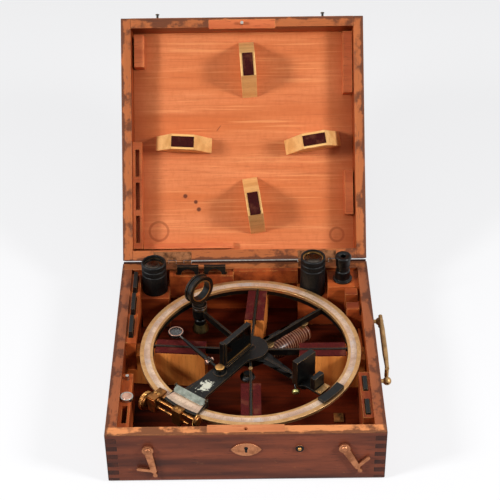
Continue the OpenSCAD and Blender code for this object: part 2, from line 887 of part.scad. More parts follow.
// A flat bracket along one rib, bored for the horizon mirror's pivot.
module horizon_bracket() {
    color(black) difference() {
        union() {
            from_hub(horizon_spoke) translate([horizon_rho - 14, -9, spoke_top])
                cube([limb_in - 2 - horizon_rho + 14, 18, bracket_t]);
            at_horizon() translate([0, 0, spoke_top]) cylinder(r = 13, h = bracket_t);
        }
        at_horizon() translate([0, 0, spoke_top - 1]) cylinder(r = 3 + fit, h = 10);
    }
}

// Behind the mirror, a black post on the bracket and a clamp plate over the limb.
module horizon_clamp() {
    color(black) {
        from_hub(horizon_spoke) translate([horizon_rho + 17, -8.5, spoke_top + bracket_t]) cube([7, 17, 17]);
        from_hub(horizon_spoke) intersection() {
            translate([0, 0, limb_top]) ring(limb_in + 3, limb_r - 2, 4.5);
            translate([limb_in, -18, limb_top]) cube([limb_w, 36, 6]);
        }
    }
}

module bracket_screws() {
    color(brass) {
        from_hub(horizon_spoke) {
            translate([horizon_rho + 25, -9, spoke_top + bracket_t]) cube([8, 18, 1.4]);
            translate([horizon_rho - 10, 0, spoke_low - 7]) {
                cylinder(r = 3.5, h = 5);
                cylinder(r = 1.8, h = 7);
            }
            for (y = [-6, 6]) translate([horizon_rho + 29, y, spoke_top + bracket_t + 1.4])
                cylinder(r = 2, h = 1);
        }
        from_hub(270) translate([36, 0, spoke_top]) cylinder(r = 2.6, h = 1.6);
    }
}

glass_t = 2;
frame_rim = 2.2;

// A mirror frame standing on the XY plane, l long and h high: a back, a rim around its glass, and a foot.
module mirror_frame(l, h, t) {
    difference() {
        translate([-l/2, -t, 0]) cube([l, t, h]);
        translate([-l/2 + frame_rim, -glass_t, frame_rim]) cube([l - 2*frame_rim, t, h - 2*frame_rim]);
    }
}

module mirror_glass(l, h) {
    translate([-l/2 + frame_rim, -glass_t, frame_rim])
        cube([l - 2*frame_rim, glass_t - 0.4, h - 2*frame_rim]);
}

module horizon_place() {
    at_horizon() translate([0, 0, spoke_top + bracket_t + gap]) rotate([0, 0, horizon_turn]) children();
}

horizon_t = 8;

module horizon_mirror_frame() {
    color(black) horizon_place() {
        translate([0, horizon_t/2, 0]) mirror_frame(horizon_w, horizon_top - horizon_low, horizon_t);
        translate([0, 0, -spoke_h - bracket_t]) cylinder(r = 3, h = spoke_h + bracket_t + 1);
    }
}

module horizon_mirror_glass() {
    color(glass) horizon_place() translate([0, horizon_t/2, 0])
        mirror_glass(horizon_w, horizon_top - horizon_low);
}

module at_arm() {
    from_hub(arm_at) children();
}

clamp_s = [-40, -29];
screw_head_r = 11.5;
screw_head_t = 8;
clamp_head_r = 7;
clamp_head_s = 28;

// A rod along the arm's tangent, from s0 to s1, at radius rho and height z.
module tangent_rod(r, rho, z, s0, s1) {
    translate([rho, s0, z]) rotate([-90, 0, 0]) cylinder(r = r, h = s1 - s0);
}

// The clamp grips the limb between two jaws and carries the tangent screw.
module clamp_block() {
    color(black) difference() {
        union() {
            at_arm() translate([limb_in + 4, clamp_s[0], 57]) cube([limb_w + 7, clamp_s[1] - clamp_s[0], 11]);
            at_arm() translate([limb_r + 1, clamp_s[0], 49]) cube([9.5, clamp_s[1] - clamp_s[0], 21]);
        }
        from_hub(0) translate([0, 0, limb_low - gap]) cylinder(r = limb_r + gap, h = limb_t + 2*gap, $fn = 128);
        at_arm() tangent_rod(screw_r + fit, screw_rho, screw_z, clamp_s[0] - 1, clamp_s[1] + 1);
        at_arm() tangent_rod(rod2_r + fit, screw_rho, rod2_z, clamp_s[0] - 1, clamp_s[1] + 1);
    }
}

// A milled head as a drum with a groove between two rims.
module milled_head(r, t) {
    rotate([-90, 0, 0]) rotate_extrude() polygon([[0, 0], [r - 0.8, 0], [r, 0.8], [r, t - 2.6], [r - 1.2, t - 2.2],
        [r - 1.2, t - 1.6], [r - 0.4, t - 1.2], [r - 1.4, t], [0, t]]);
}

module tangent_screw() {
    head_s = clamp_s[0] - 3 - screw_head_t;
    color(brass) at_arm() {
        tangent_rod(screw_r, screw_rho, screw_z, head_s + 1, nut_s[1] + 9);
        translate([screw_rho, head_s, screw_z]) milled_head(screw_head_r, screw_head_t);
        tangent_rod(3.4, screw_rho, screw_z, clamp_s[0] - 3, clamp_s[0] - gap);
        tangent_rod(3.4, screw_rho, screw_z, clamp_s[1] + gap, clamp_s[1] + 2);
    }
}

module clamp_screw() {
    color(brass) at_arm() {
        tangent_rod(rod2_r, screw_rho, rod2_z, clamp_s[0] + 1, clamp_head_s + 1);
        translate([screw_rho, clamp_head_s, rod2_z]) milled_head(clamp_head_r, 5);
        tangent_rod(2.8, screw_rho, rod2_z, clamp_s[1] + gap, clamp_s[1] + 2);
    }
}

arm_fillet = 14;
flare_half = 24;
flare_end = limb_in - 3;
nut_s = [-3, 9];
vernier_in = limb_in + 1;
vernier_out = limb_r - 2.6;
vernier_half = 6.5;
post_s = 22.6;
diffuser_rho = limb_in - 6;
diffuser_z = step_top + 6;
diffuser_pin_r = 1;

// Outline of the arm: a round head, a straight bar and a flared outer end, all joined by hollow arcs.
module arm_outline() {
    half = arm_w/2;
    reach = sqrt(pow(head_r + arm_fillet, 2) - pow(half + arm_fillet, 2));
    flare = flare_half - half;
    circle(head_r);
    translate([0, -half]) square([flare_end, arm_w]);
    difference() {
        polygon([[0, 0], [reach, half + arm_fillet], [reach, -half - arm_fillet]]);
        for (s = [-1, 1]) translate([reach, s*(half + arm_fillet)]) circle(arm_fillet - 0.06);
    }
    difference() {
        translate([flare_end - flare - 5, -flare_half]) square([flare + 5, 2*flare_half]);
        for (s = [-1, 1]) translate([flare_end - flare - 5, s*flare_half]) circle(flare - 0.06);
    }
}

// A sector of half angle a, between two radii.
module sector(r_in, r_out, a, h) {
    intersection() {
        ring(r_in, r_out, h);
        translate([0, 0, -1]) linear_extrude(h + 2)
            polygon([[0, 0], [2*r_out*cos(a), -2*r_out*sin(a)], [2*r_out*cos(a), 2*r_out*sin(a)]]);
    }
}

// The index arm, its step over the limb, its nut block and the posts of the diffuser.
module index_arm() {
    color(black) at_arm() difference() {
        union() {
            translate([0, 0, arm_low]) linear_extrude(arm_t) arm_outline();
            translate([0, 0, step_low]) intersection() {
                ring(flare_end - 4, arm_end, step_top - step_low);
                translate([flare_end - 4, -flare_half, 0]) cube([arm_end - flare_end + 5, 2*flare_half, 10]);
            }
            translate([limb_r + 0.5, nut_s[0], 49]) cube([10, nut_s[1] - nut_s[0], 20.5]);
            for (s = [-1, 1]) translate([diffuser_rho - 2, s > 0 ? post_s : -flare_half, step_top - 3.5])
                cube([4, flare_half - post_s, diffuser_z + 2 - step_top + 3.5]);
        }
        translate([0, 0, arm_low - 1]) cylinder(r = axle_r, h = 10);
        translate([0, 0, step_low - 1]) rotate([0, 0, 1]) sector(vernier_in, vernier_out, vernier_half, 6);
        translate([pivot_r, pivot_s, arm_low - 1]) cylinder(r = 1.6 + fit, h = 10);
        tangent_rod(screw_r + 0.5, screw_rho, screw_z, nut_s[0] - 1, nut_s[1] + 1);
        tangent_rod(rod2_r + 0.5, screw_rho, rod2_z, nut_s[0] - 1, nut_s[1] + 1);
        tangent_rod(diffuser_pin_r + fit, diffuser_rho, diffuser_z, -30, 30);
    }
}

module centre_axle() {
    color(steel) at_arm() {
        translate([0, 0, hub_low - 5.5]) cylinder(r = axle_r, h = arm_top - hub_low + 5.5);
        translate([0, 0, hub_low - 5.5]) cylinder(r = axle_r + 3, h = 3.2);
    }
}

module vernier() {
    color(silver) at_arm() translate([0, 0, step_low]) rotate([0, 0, 1])
        sector(vernier_in, vernier_out, vernier_half, 1.2);
}

mirror_t = 7;
foot_t = 2.2;

module at_index_mirror() {
    at_arm() translate([mirror_from + mirror_l/2, 0, arm_top + foot_t]) children();
}

module index_mirror_frame() {
    color(black) at_index_mirror() {
        mirror_frame(mirror_l - 4, mirror_h - foot_t, mirror_t);
        translate([-mirror_l/2, -mirror_t - 3, -foot_t]) cube([mirror_l, mirror_t + 5, foot_t]);
        translate([mirror_l/2 - 2, -mirror_t, 0]) cube([4, mirror_t - 1, mirror_h - foot_t + 2]);
    }
}

module index_mirror_glass() {
    color(glass) at_index_mirror() mirror_glass(mirror_l - 4, mirror_h - foot_t);
}

pivot_s = -1.5;
eye_half = 1.2;
tilt_pin_r = 1;

module at_magnifier() {
    at_arm() translate([pivot_r, pivot_s, rod_z]) rotate([0, 0, magnifier_dir - arm_at]) children();
}

// The magnifier's bracket turns on the arm and ends in an eye.
module magnifier_bracket() {
    color(brass) at_magnifier() difference() {
        union() {
            translate([0, 0, arm_top + gap - rod_z]) cylinder(r = 5, h = eye_out + rod_r);
            translate([0, 0, rod_r + 0.1]) cylinder(r1 = 4, r2 = 3, h = 1);
            translate([0, 0, arm_low - rod_z]) cylinder(r = 1.6, h = arm_t + 1);
            rotate([0, 90, 0]) cylinder(r = rod_r, h = ball_from_pivot - eye_out - 0.6);
            translate([ball_from_pivot - eye_out - 2, -eye_half, -rod_r]) cube([3, 2*eye_half, 2*rod_r]);
            translate([ball_from_pivot, eye_half, 0]) rotate([90, 0, 0]) cylinder(r = eye_out, h = 2*eye_half);
        }
        translate([ball_from_pivot, 5, 0]) rotate([90, 0, 0]) cylinder(r = tilt_pin_r + fit, h = 10);
    }
}

cheek_t = 1.6;

// The magnifier's long rod: a fork with its pin at one end and the lens rim at the other.
module magnifier_arm() {
    cheek_from = eye_half + gap;
    color(steel) at_magnifier() {
        for (s = [-1, 1]) translate([ball_from_pivot, s > 0 ? cheek_from : -cheek_from - cheek_t, 0]) {
            rotate([-90, 0, 0]) cylinder(r = eye_out, h = cheek_t);
            translate([0, 0, -1.7]) cube([eye_out + 3, cheek_t, 3.4]);
        }
        translate([ball_from_pivot, cheek_from + 0.5, 0]) rotate([90, 0, 0])
            cylinder(r = tilt_pin_r, h = 2*cheek_from + 1);
        translate([ball_from_pivot + eye_out + 0.6, -cheek_from - 0.5, -1.7]) cube([2.6, 2*cheek_from + 1, 3.4]);
        translate([ball_from_pivot + eye_out + 2, 0, 0]) rotate([0, 90, 0])
            cylinder(r = 1.5, h = lens_reach - lens_r - ball_from_pivot - eye_out - 1.4);
        translate([lens_reach, 0, -2]) difference() {
            cylinder(r = lens_r, h = 4);
            translate([0, 0, -1]) cylinder(r = lens_r - 1.6, h = 6);
        }
    }
}

module magnifier_lens() {
    color(glass) at_magnifier() translate([lens_reach, 0, -1]) cylinder(r = lens_r - 1.6, h = 2);
}

diffuser_w = 8;
diffuser_t = 2.4;
diffuser_lean = 35;

// A frosted plate over the vernier, on a pin between the arm's two posts.
module diffuser() {
    color([0.93, 0.90, 0.84]) at_arm() translate([diffuser_rho, 0, diffuser_z]) {
        translate([0, -flare_half, 0]) rotate([-90, 0, 0]) cylinder(r = diffuser_pin_r, h = 2*flare_half);
        rotate([0, diffuser_lean, 0]) translate([0, 0, -diffuser_t/2]) {
            translate([0, -post_s + 3, 0]) cube([diffuser_w, 2*post_s - 6, diffuser_t]);
            translate([diffuser_w/2 - 1, -post_s + 0.4, 0]) cube([diffuser_w/2 - 2, 2*post_s - 0.8, diffuser_t]);
            for (s = [-1, 1]) translate([diffuser_w/2, s*(post_s - 0.4 - diffuser_w/2), 0])
                cylinder(r = diffuser_w/2, h = diffuser_t);
        }
    }
}

tube_low = well_floor + gap;
mouth_r = tube_r - 2.5;
lens_down = 15;

// A telescope standing in its well: leather tube, ringed top, open mouth with a shoulder for its glass.
module telescope(top) {
    l = top - tube_low;
    rotate_extrude() polygon([[0, 0], [tube_r - 1.5, 0], [tube_r, 1.5], [tube_r, l - 17],
        [tube_r - 0.8, l - 16.4], [tube_r - 0.8, l - 15.6], [tube_r, l - 15], [tube_r, l - 9],
        [tube_r - 0.8, l - 8.4], [tube_r - 0.8, l - 7.6], [tube_r, l - 7], [tube_r, l - 1.2],
        [tube_r - 1, l], [mouth_r, l], [mouth_r, l - lens_down], [mouth_r - 1.5, l - lens_down],
        [mouth_r - 1.5, 20], [5, 12], [5, 6], [0, 6]]);
}

module telescope_lens() {
    rotate_extrude() polygon([[0, 0], [mouth_r, 0], [mouth_r, 1.4], [mouth_r*0.6, 2.2], [0, 2.6]]);
}

module left_telescope() {
    color(black) translate([left_tube_x, tube_y, tube_low]) telescope(left_tube_top);
}

module left_telescope_lens() {
    color(glass) translate([left_tube_x, tube_y, left_tube_top - lens_down]) telescope_lens();
}

module right_telescope() {
    color(black) translate([right_tube_x, tube_y, tube_low]) telescope(right_tube_top);
}

module right_telescope_lens() {
    color(glass) translate([right_tube_x, tube_y, right_tube_top - lens_down]) telescope_lens();
}

eyepiece_spigot_r = 8.5;

// The spare eyepiece: a spigot in the shelf, a flange, a waisted body and a broad eye disc.
module eyepiece() {
    h = eyepiece_top - shelf_top;
    color(black) translate([eyepiece_x, eyepiece_y, shelf_top]) difference() {
        rotate_extrude() polygon([[0, -22], [eyepiece_spigot_r, -22], [eyepiece_spigot_r, gap], [12.5, gap],
            [12.5, 2.6], [9.5, 3.4], [9.5, 15], [8.2, 16], [8.2, h - 15], [9.4, h - 14], [9.4, h - 5],
            [10.5, h - 4], [10.5, h - 1], [9.5, h], [0, h]]);
        translate([0, 0, h - 8]) cylinder(r = 3.5, h = 10);
        translate([0, 0, h - 1]) cylinder(r1 = 3.5, r2 = 5.5, h = 1.2);
    }
}

front_board();
back_board();
side_boards();
floor_board();
cradle_blocks();
cradle_linings();
accessory_racks();
telescope_wells();
lock_inlay();
escutcheon();
front_screws();
handle_posts();
hinge_leaves();
hinge_pins();
stowed_shades();
spare_pieces();
lid_front_board();
lid_back_board();
lid_side_boards();
lid_panel();
hold_down_blocks();
hold_down_pads();
lid_strips();
lock_peg();
hook_studs();
lid_hinge_leaves();
left_hook();
right_hook();
bail_handle();
wheel_frame();
limb_ring();
silver_scale();
grip();
grip_posts();
pillar_sleeve();
pillar_foot();
horizon_bracket();
horizon_clamp();
bracket_screws();
collar();
collar_nut();
horizon_mirror_frame();
horizon_mirror_glass();
clamp_block();
tangent_screw();
clamp_screw();
index_arm();
centre_axle();
vernier();
index_mirror_frame();
index_mirror_glass();
magnifier_bracket();
magnifier_arm();
magnifier_lens();
diffuser();
left_telescope();
left_telescope_lens();
right_telescope();
right_telescope_lens();
eyepiece();
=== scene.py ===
# %% [markdown]
# A reflecting surveying circle lies in its wooden case, with its telescopes, shades and eyepiece around it.
# The packed model is the fixed frame: every board, rib and screw is already in place, in metres, with +Z up.
# This lesson gives each piece its finish, and adds the small things that a solid model leaves out.

# %% Load the frame
import json
import math

import bmesh
import bpy
from mathutils import Matrix, Vector

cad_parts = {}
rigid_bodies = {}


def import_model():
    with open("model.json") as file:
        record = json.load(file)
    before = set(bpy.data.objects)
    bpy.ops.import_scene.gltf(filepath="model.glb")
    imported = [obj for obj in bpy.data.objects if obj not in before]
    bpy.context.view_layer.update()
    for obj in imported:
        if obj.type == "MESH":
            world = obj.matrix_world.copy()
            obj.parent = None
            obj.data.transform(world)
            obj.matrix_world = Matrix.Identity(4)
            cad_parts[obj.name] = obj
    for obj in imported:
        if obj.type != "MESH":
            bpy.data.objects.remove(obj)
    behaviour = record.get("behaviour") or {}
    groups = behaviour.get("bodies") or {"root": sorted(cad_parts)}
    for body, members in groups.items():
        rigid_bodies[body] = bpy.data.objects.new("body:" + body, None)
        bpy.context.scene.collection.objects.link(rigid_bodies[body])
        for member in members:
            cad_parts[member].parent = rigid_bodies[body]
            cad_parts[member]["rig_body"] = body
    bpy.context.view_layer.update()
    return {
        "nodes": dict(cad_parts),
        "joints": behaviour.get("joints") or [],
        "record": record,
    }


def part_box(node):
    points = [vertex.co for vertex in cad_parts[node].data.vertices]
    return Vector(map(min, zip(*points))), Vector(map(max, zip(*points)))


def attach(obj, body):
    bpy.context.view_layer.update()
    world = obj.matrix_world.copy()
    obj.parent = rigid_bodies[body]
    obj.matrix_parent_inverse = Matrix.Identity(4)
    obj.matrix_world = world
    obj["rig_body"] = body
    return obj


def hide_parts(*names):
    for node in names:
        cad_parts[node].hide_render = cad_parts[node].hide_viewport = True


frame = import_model()
NODES = frame["nodes"]
MM = 0.001

# %% [markdown]
# The hub of the wheel is the centre of everything round on the instrument. Its place could be typed in, but
# it would be wrong after any change to the model. So places and sizes are read from the frame's joints and
# nodes, and every added piece follows them.

# %% Places that the rest is built from
JOINTS = {joint["name"]: joint for joint in frame["joints"]}
HUB = Vector(JOINTS["arm_turn"]["pos_m"])
SIDE = Vector(JOINTS["tangent_turn"]["axis"]).normalized()
OUT = Vector((SIDE.y, -SIDE.x, 0))
UP = Vector((0, 0, 1))
RIGHT = Vector((1, 0, 0))
FRONT = Vector((0, -1, 0))


def middle(node, height=None):
    """The middle of a node, or the place at that height above or below it."""
    low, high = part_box(node)
    centre = (low + high) / 2
    return centre if height is None else Vector((centre.x, centre.y, height))


def radius_of(node):
    low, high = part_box(node)
    return (high.x - low.x) / 2


def top_of(node):
    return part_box(node)[1].z


def points(node):
    return [vertex.co for vertex in NODES[node].data.vertices]


LIMB_R = radius_of("limb_ring")
BAND_R = radius_of("silver_scale")
print("hub", HUB, "limb radius", round(LIMB_R, 5), "band radius", round(BAND_R, 5))

# %% [markdown]
# The lid stands open, so its boards lean. Turned back about the hinge line they lie level, and the highest
# point of the panel is then the top of the shut case.

# %% How far the lid is open
HINGE = Vector(JOINTS["lid_hinge"]["pos_m"])
LID_OPEN = math.radians(-JOINTS["lid_hinge"]["range_deg"][0])
shutting = Matrix.Rotation(LID_OPEN, 3, "X")
LID_TOP = HINGE.z + max((shutting @ (place - HINGE)).z for place in points("lid_panel"))
print("lid open", round(math.degrees(LID_OPEN), 1), "top when shut", round(LID_TOP, 4))


# %% [markdown]
# A material is a small program. Writing it node by node hides what it computes, so a socket is wrapped in
# a class whose operators add the Math nodes. Then a mask reads like the formula that it is.

# %% Sockets that can be added and multiplied
class Value:
    """Something that varies over a surface, with the usual operators for numbers."""

    def __init__(self, graph, socket):
        self.graph = graph
        self.socket = socket

    def math(self, operation, *numbers):
        return self.graph.add("Math", {"operation": operation}, dict(enumerate(numbers)))

    def __add__(self, other):
        return self.math("ADD", self, other)

    __radd__ = __add__

    def __sub__(self, other):
        return self.math("SUBTRACT", self, other)

    def __rsub__(self, other):
        return self.math("SUBTRACT", other, self)

    def __mul__(self, other):
        return self.math("MULTIPLY", self, other)

    __rmul__ = __mul__

    def __truediv__(self, other):
        return self.math("DIVIDE", self, other)

    def __rtruediv__(self, other):
        return self.math("DIVIDE", other, self)

    def __pow__(self, other):
        return self.math("POWER", self, other)

    def __rpow__(self, other):
        return self.math("POWER", other, self)

    def __abs__(self):
        return self.math("ABSOLUTE", self)

    def least(self, other):
        return self.math("MINIMUM", self, other)

    def most(self, other):
        return self.math("MAXIMUM", self, other)

    def between(self, low, high):
        """0 below low, 1 above high and smooth between them."""
        settings = {"interpolation_type": "SMOOTHSTEP"}
        sockets = {"Value": self, "From Min": low, "From Max": high}
        return self.graph.add("MapRange", settings, sockets)


print("a value can", [name for name in vars(Value) if not name.startswith("_")])


# %% [markdown]
# Materials and the world are both graphs of nodes. One method adds any node from its type, its settings and
# the values or links of its sockets, so a finish below is a few plain expressions.

# %% A graph of nodes
class Graph:
    """The nodes of a material or of the world."""

    def __init__(self, tree):
        self.nodes = tree.nodes
        self.links = tree.links

    def plug(self, socket, value):
        source = getattr(value, "socket", value)
        if isinstance(source, bpy.types.NodeSocket):
            self.links.new(source, socket)
        else:
            socket.default_value = value

    def add(self, kind, settings=None, sockets=None, output=0):
        node = self.nodes.new("ShaderNode" + kind)
        for key, value in (settings or {}).items():
            setattr(node, key, value)
        for key, value in (sockets or {}).items():
            self.plug(node.inputs[key], value)
        return Value(self, node.outputs[output])

    def mix(self, amount, first, second):
        """A blend of two colours."""
        return self.add("Mix", {"data_type": "RGBA"}, {0: amount, 6: first, 7: second}, 2)

    def coats(self, base, *coats):
        """Lays (amount, colour) coats over a base, one after the other."""
        for amount, tone in coats:
            base = self.mix(amount, base, tone)
        return base

    def seen(self):
        """1 for the camera and for what metal and glass show, 0 for the light that falls on things."""
        kinds = ("Is Camera Ray", "Is Glossy Ray", "Is Transmission Ray")
        camera_ray, glossy_ray, glass_ray = (self.add("LightPath", output=kind) for kind in kinds)
        return camera_ray.most(glossy_ray).most(glass_ray)


print("a graph can", [name for name in vars(Graph) if not name.startswith("_")])


# %% [markdown]
# Paint is the graph of one material. It knows its shader, and the few things that nearly every finish here
# starts from: a place on the piece, a noise, the edges that hands rub, and a bump.

# %% A builder for materials
class Paint(Graph):
    """A material with a Principled shader."""

    def __init__(self, name, **sockets):
        self.name = name
        self.material = bpy.data.materials.new("look_" + name)
        self.material.use_nodes = True
        super().__init__(self.material.node_tree)
        self.shader = self.nodes["Principled BSDF"]
        self.set(**sockets)

    def set(self, **sockets):
        for key, value in sockets.items():
            self.plug(self.shader.inputs[key.replace("_", " ")], value)

    def tone(self):
        """The colour that the material has so far."""
        return self.shader.inputs["Base Color"].links[0].from_socket

    def place(self, scale=(1, 1, 1), turn=(0, 0, 0), shift=(0, 0, 0)):
        """Where a point lies on its piece, in metres, turned and then stretched."""
        where = self.add("TexCoord", output="Object")
        turned_place = self.add("Mapping", {}, {"Vector": where, "Rotation": turn})
        return self.add("Mapping", {}, {"Vector": turned_place, "Scale": scale, "Location": shift})

    def axis(self, name, where=None):
        point = where or self.add("TexCoord", output="Object")
        return self.add("SeparateXYZ", {}, {"Vector": point}, "XYZ".index(name))

    def noise(self, scale, detail=4.0, rough=0.55, where=None):
        sockets = {"Vector": where or self.place(), "Scale": scale, "Detail": detail, "Roughness": rough}
        return self.add("TexNoise", {}, sockets)

    def bump(self, height, depth, strength=1.0):
        sockets = {"Height": height, "Distance": depth, "Strength": strength}
        self.set(Normal=self.add("Bump", {}, sockets))

    def corners(self, radius):
        """1 on edges that hands and cloths reach, 0 on flat faces."""
        soft = self.add("Bevel", {"samples": 4}, {"Radius": radius})
        true = self.add("NewGeometry", output="Normal")
        dot = self.add("VectorMath", {"operation": "DOT_PRODUCT"}, {0: soft, 1: true}, 1)
        return (1 - dot).between(0.01, 0.16)


print("a paint can also", [name for name in vars(Paint) if not name.startswith("_")])


# %% [markdown]
# Colours are written as a screen shows them, from 0 to 255, because that is how one reads them off a
# photograph. A shader wants linear light instead. The case is dark and red outside, and its bare inside has
# turned orange.

# %% The palette of the case
def colour(red, green, blue):
    """A screen colour from 0 to 255, as the linear colour that a shader takes."""
    def linear(value):
        value = value / 255
        return value / 12.92 if value <= 0.04045 else ((value + 0.055) / 1.055) ** 2.4
    return (linear(red), linear(green), linear(blue), 1.0)


ORANGE = colour(214, 128, 79)
ORANGE_DARK = colour(196, 104, 54)
PORE = colour(110, 44, 18)
INNER = colour(176, 82, 34)
INNER_DARK = colour(100, 36, 13)
CASE = colour(138, 70, 46)
CASE_DARK = colour(62, 28, 20)
CASE_PORE = colour(30, 13, 10)
STAIN = colour(74, 38, 24)
JOINT = colour(30, 14, 10)
WORN = colour(190, 118, 70)
PALE_DARK = colour(208, 146, 78)
print("case colour in linear light", CASE)


# %% [markdown]
# The same board is polished outside, bare inside, and rubbed and stained on the rim where base and lid meet.
# Each face could have a material of its own, but the tones also have to run over the rounded edges. So each
# zone is a distance from the middle of the case, made into a mask. The lid's boards lean with the open lid,
# so their space is turned shut first.

# %% Tones of a board of the case
INNER_WALL = (0.1500, 0.1570)
OUTER_WALL = (0.1545, 0.1595)
CORNER_JOINT = (0.1462, 0.1475)
BOARD_END = (0.1588, 0.1598)


def shut(paint, turn):
    """Where a point would lie with the lid shut, turned about the hinge line."""
    point = paint.add("TexCoord", output="Object")
    if not turn:
        return point
    from_hinge = paint.add("VectorMath", {"operation": "SUBTRACT"}, {0: point, 1: tuple(HINGE)})
    sockets = {"Vector": from_hinge, "Rotation": (turn, 0, 0), "Location": HINGE}
    return paint.add("Mapping", {}, sockets)


def board_tones(paint, along, pale, dark, turn, rim):
    """The two tones of a board in each of its zones, and a mask for the finger joints."""
    point = shut(paint, turn)
    x, y = abs(paint.axis("X", point)), abs(paint.axis("Y", point))
    reach = x.most(y)
    corner = x.least(y).between(*CORNER_JOINT)
    inside = 1 - reach.between(*INNER_WALL)
    on_rim = 1 - abs(paint.axis("Z", point) - HINGE.z).between(0.0008, 0.0016)
    stain = paint.noise(32.0, 6.0, 0.65, point)
    stained = (stain + reach.between(*OUTER_WALL) * 0.2).between(0.5, 0.62) * on_rim
    end_grain = abs(paint.axis(along, point)).between(*BOARD_END)
    aged = ((end_grain * 0.6, JOINT), (stained * 0.8, STAIN))
    pale = paint.coats(pale, (inside, INNER), (on_rim * 0.9, rim), *aged)
    dark = paint.coats(dark, (inside, INNER_DARK), (on_rim * 0.7, rim), *aged)
    return pale, dark, corner


print("zones of a board", INNER_WALL, OUTER_WALL, CORNER_JOINT, BOARD_END)


# %% [markdown]
# All the wood is one recipe. A picture of a board would repeat and would have to be laid on face by face, so
# the grain is computed from the place in the wood. A noise drawn out along the grain becomes broad figure, a
# finer one becomes fibres and a third, cut hard, becomes open pores. Worn wood is paler on its edges and
# where it was knocked.

# %% A wood recipe
GRAIN = {"X": (0.09, 1, 1), "Y": (1, 0.09, 1), "Z": (1, 1, 0.09)}


def wear(paint, base, worn, corner):
    """Rubbed edges, knocks, and dark lines in the finger joints."""
    edge = paint.corners(0.0014)
    rubbed = (edge * paint.noise(60.0, 4.0).between(0.38, 0.62)).between(0.1, 0.7)
    knocks = paint.noise(120.0, 5.0, 0.7).between(0.62, 0.72)
    return paint.coats(base, (rubbed * (1 - corner) * 0.7, worn), (knocks * 0.25, worn),
                       (edge * corner * 0.9, JOINT))


def wood(name, along, pale, dark, pore, turn=0.0, worn=None, gloss=0.5, figure=38.0, shift=0.0, rim=None,
         pored=0.55, sheen=0.22):
    paint = Paint(name, Roughness=gloss, Specular_IOR_Level=sheen)
    corner = 0.0
    if rim:
        pale, dark, corner = board_tones(paint, along, pale, dark, turn, rim)
    space = paint.place(GRAIN[along], (turn, 0, 0), (shift, shift, shift))
    broad = paint.noise(figure, 3.0, 0.6, space)
    fibre = paint.noise(figure * 9, 5.0, 0.7, space)
    pores = paint.noise(figure * 22, 2.0, 0.6, space).between(0.60, 0.72)
    blotch = paint.noise(14.0, 3.0, 0.6).between(0.35, 0.75)
    base = paint.coats(dark, (broad.between(0.3, 0.7), pale), (fibre.between(0.42, 0.75) * 0.35, dark),
                       (pores * pored, pore), (blotch * 0.16, dark))
    if worn:
        base = wear(paint, base, worn, corner)
    paint.set(Base_Color=base, Roughness=gloss + (broad - 0.5) * 0.25)
    paint.bump(fibre * 0.5 - pores, 0.00012, 0.6)
    return paint


print("stretch along the grain", round(1 / min(GRAIN["X"]), 1))

# %% [markdown]
# Each wood of the set is that recipe with its own tones and grain. The polished boards share their tones,
# and differ in the run of the grain and in how pale their rims have been rubbed.

# %% The woods
MATERIALS = {}


def keep(paint):
    MATERIALS[paint.name] = paint.material


RIM = colour(182, 108, 60)
SIDE_RIM = colour(158, 90, 54)
FRONT_RIM = colour(236, 152, 94)
LID_RIM = colour(186, 106, 58)
polished = {"worn": WORN, "gloss": 0.42}
boards = (CASE, CASE_DARK, CASE_PORE)
bare = (INNER, INNER_DARK, PORE)
keep(wood("case_wood_x", "X", *boards, rim=RIM, **polished))
keep(wood("front_wood", "X", colour(156, 82, 56), colour(74, 36, 26), CASE_PORE, rim=FRONT_RIM, **polished))
keep(wood("case_wood_y", "Y", *boards, shift=0.3, rim=SIDE_RIM, **polished))
for along in "XY":
    keep(wood("lid_wood_" + along.lower(), along, *boards, turn=LID_OPEN, rim=LID_RIM, **polished))
    keep(wood("inner_wood_" + along.lower(), along, *bare, worn=PALE_DARK, gloss=0.55))
keep(wood("cradle_wood", "Z", colour(240, 152, 72), colour(180, 90, 36), PORE, gloss=0.55))
keep(wood("pale_wood", "X", colour(250, 200, 130), colour(224, 164, 96), colour(150, 98, 52), gloss=0.6,
          figure=60.0))
# The floor of the case has the darkest tones of all the woods: they hold painted shade as well as the wood's
# own colour, for the floor lies deep in the case under the circle.
keep(wood("floor_wood", "X", colour(104, 34, 12), colour(30, 8, 3), colour(16, 4, 2), gloss=0.6, sheen=0.06))
keep(wood("inlay_wood", "X", colour(214, 136, 88), colour(176, 98, 58), PORE, worn=WORN))
# A near-black wood that is painted shade: it fills the joint behind the lid's hinge.
keep(wood("gap_shade_wood", "X", colour(60, 26, 14), colour(30, 12, 7), colour(12, 5, 3), gloss=0.6))
keep(wood("strip_wood", "X", colour(214, 118, 70), colour(178, 84, 44), PORE, turn=LID_OPEN, worn=PALE_DARK))
print("woods", len(MATERIALS))

# %% [markdown]
# The grip under the wheel is turned with fine rings, and light catches their crests. The crests could be
# modelled, but they are shallow, so a saw wave along the grip, folded into a ridge, paints a pale highlight
# on each and costs no faces.

# %% The ringed grip
RING_PITCH = 0.0038
grip = wood("grip_wood", "X", colour(104, 44, 22), colour(52, 20, 10), colour(34, 14, 8), gloss=0.3)
grip_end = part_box("grip")[1]
grip_run = Vector((grip_end.x - HUB.x, grip_end.y - HUB.y, 0)).normalized()
along_grip = (grip.axis("X") * grip_run.x + grip.axis("Y") * grip_run.y) / RING_PITCH
saw = along_grip.math("FRACT", along_grip)
# Painted highlight: the crest of every ring is lightened as if light caught it.
crest_highlight = saw.least(1 - saw).between(0.34, 0.44)
grip.set(Base_Color=grip.mix(crest_highlight * 0.45, grip.tone(), colour(226, 176, 140)))
keep(grip)
print("grip runs", grip_run)


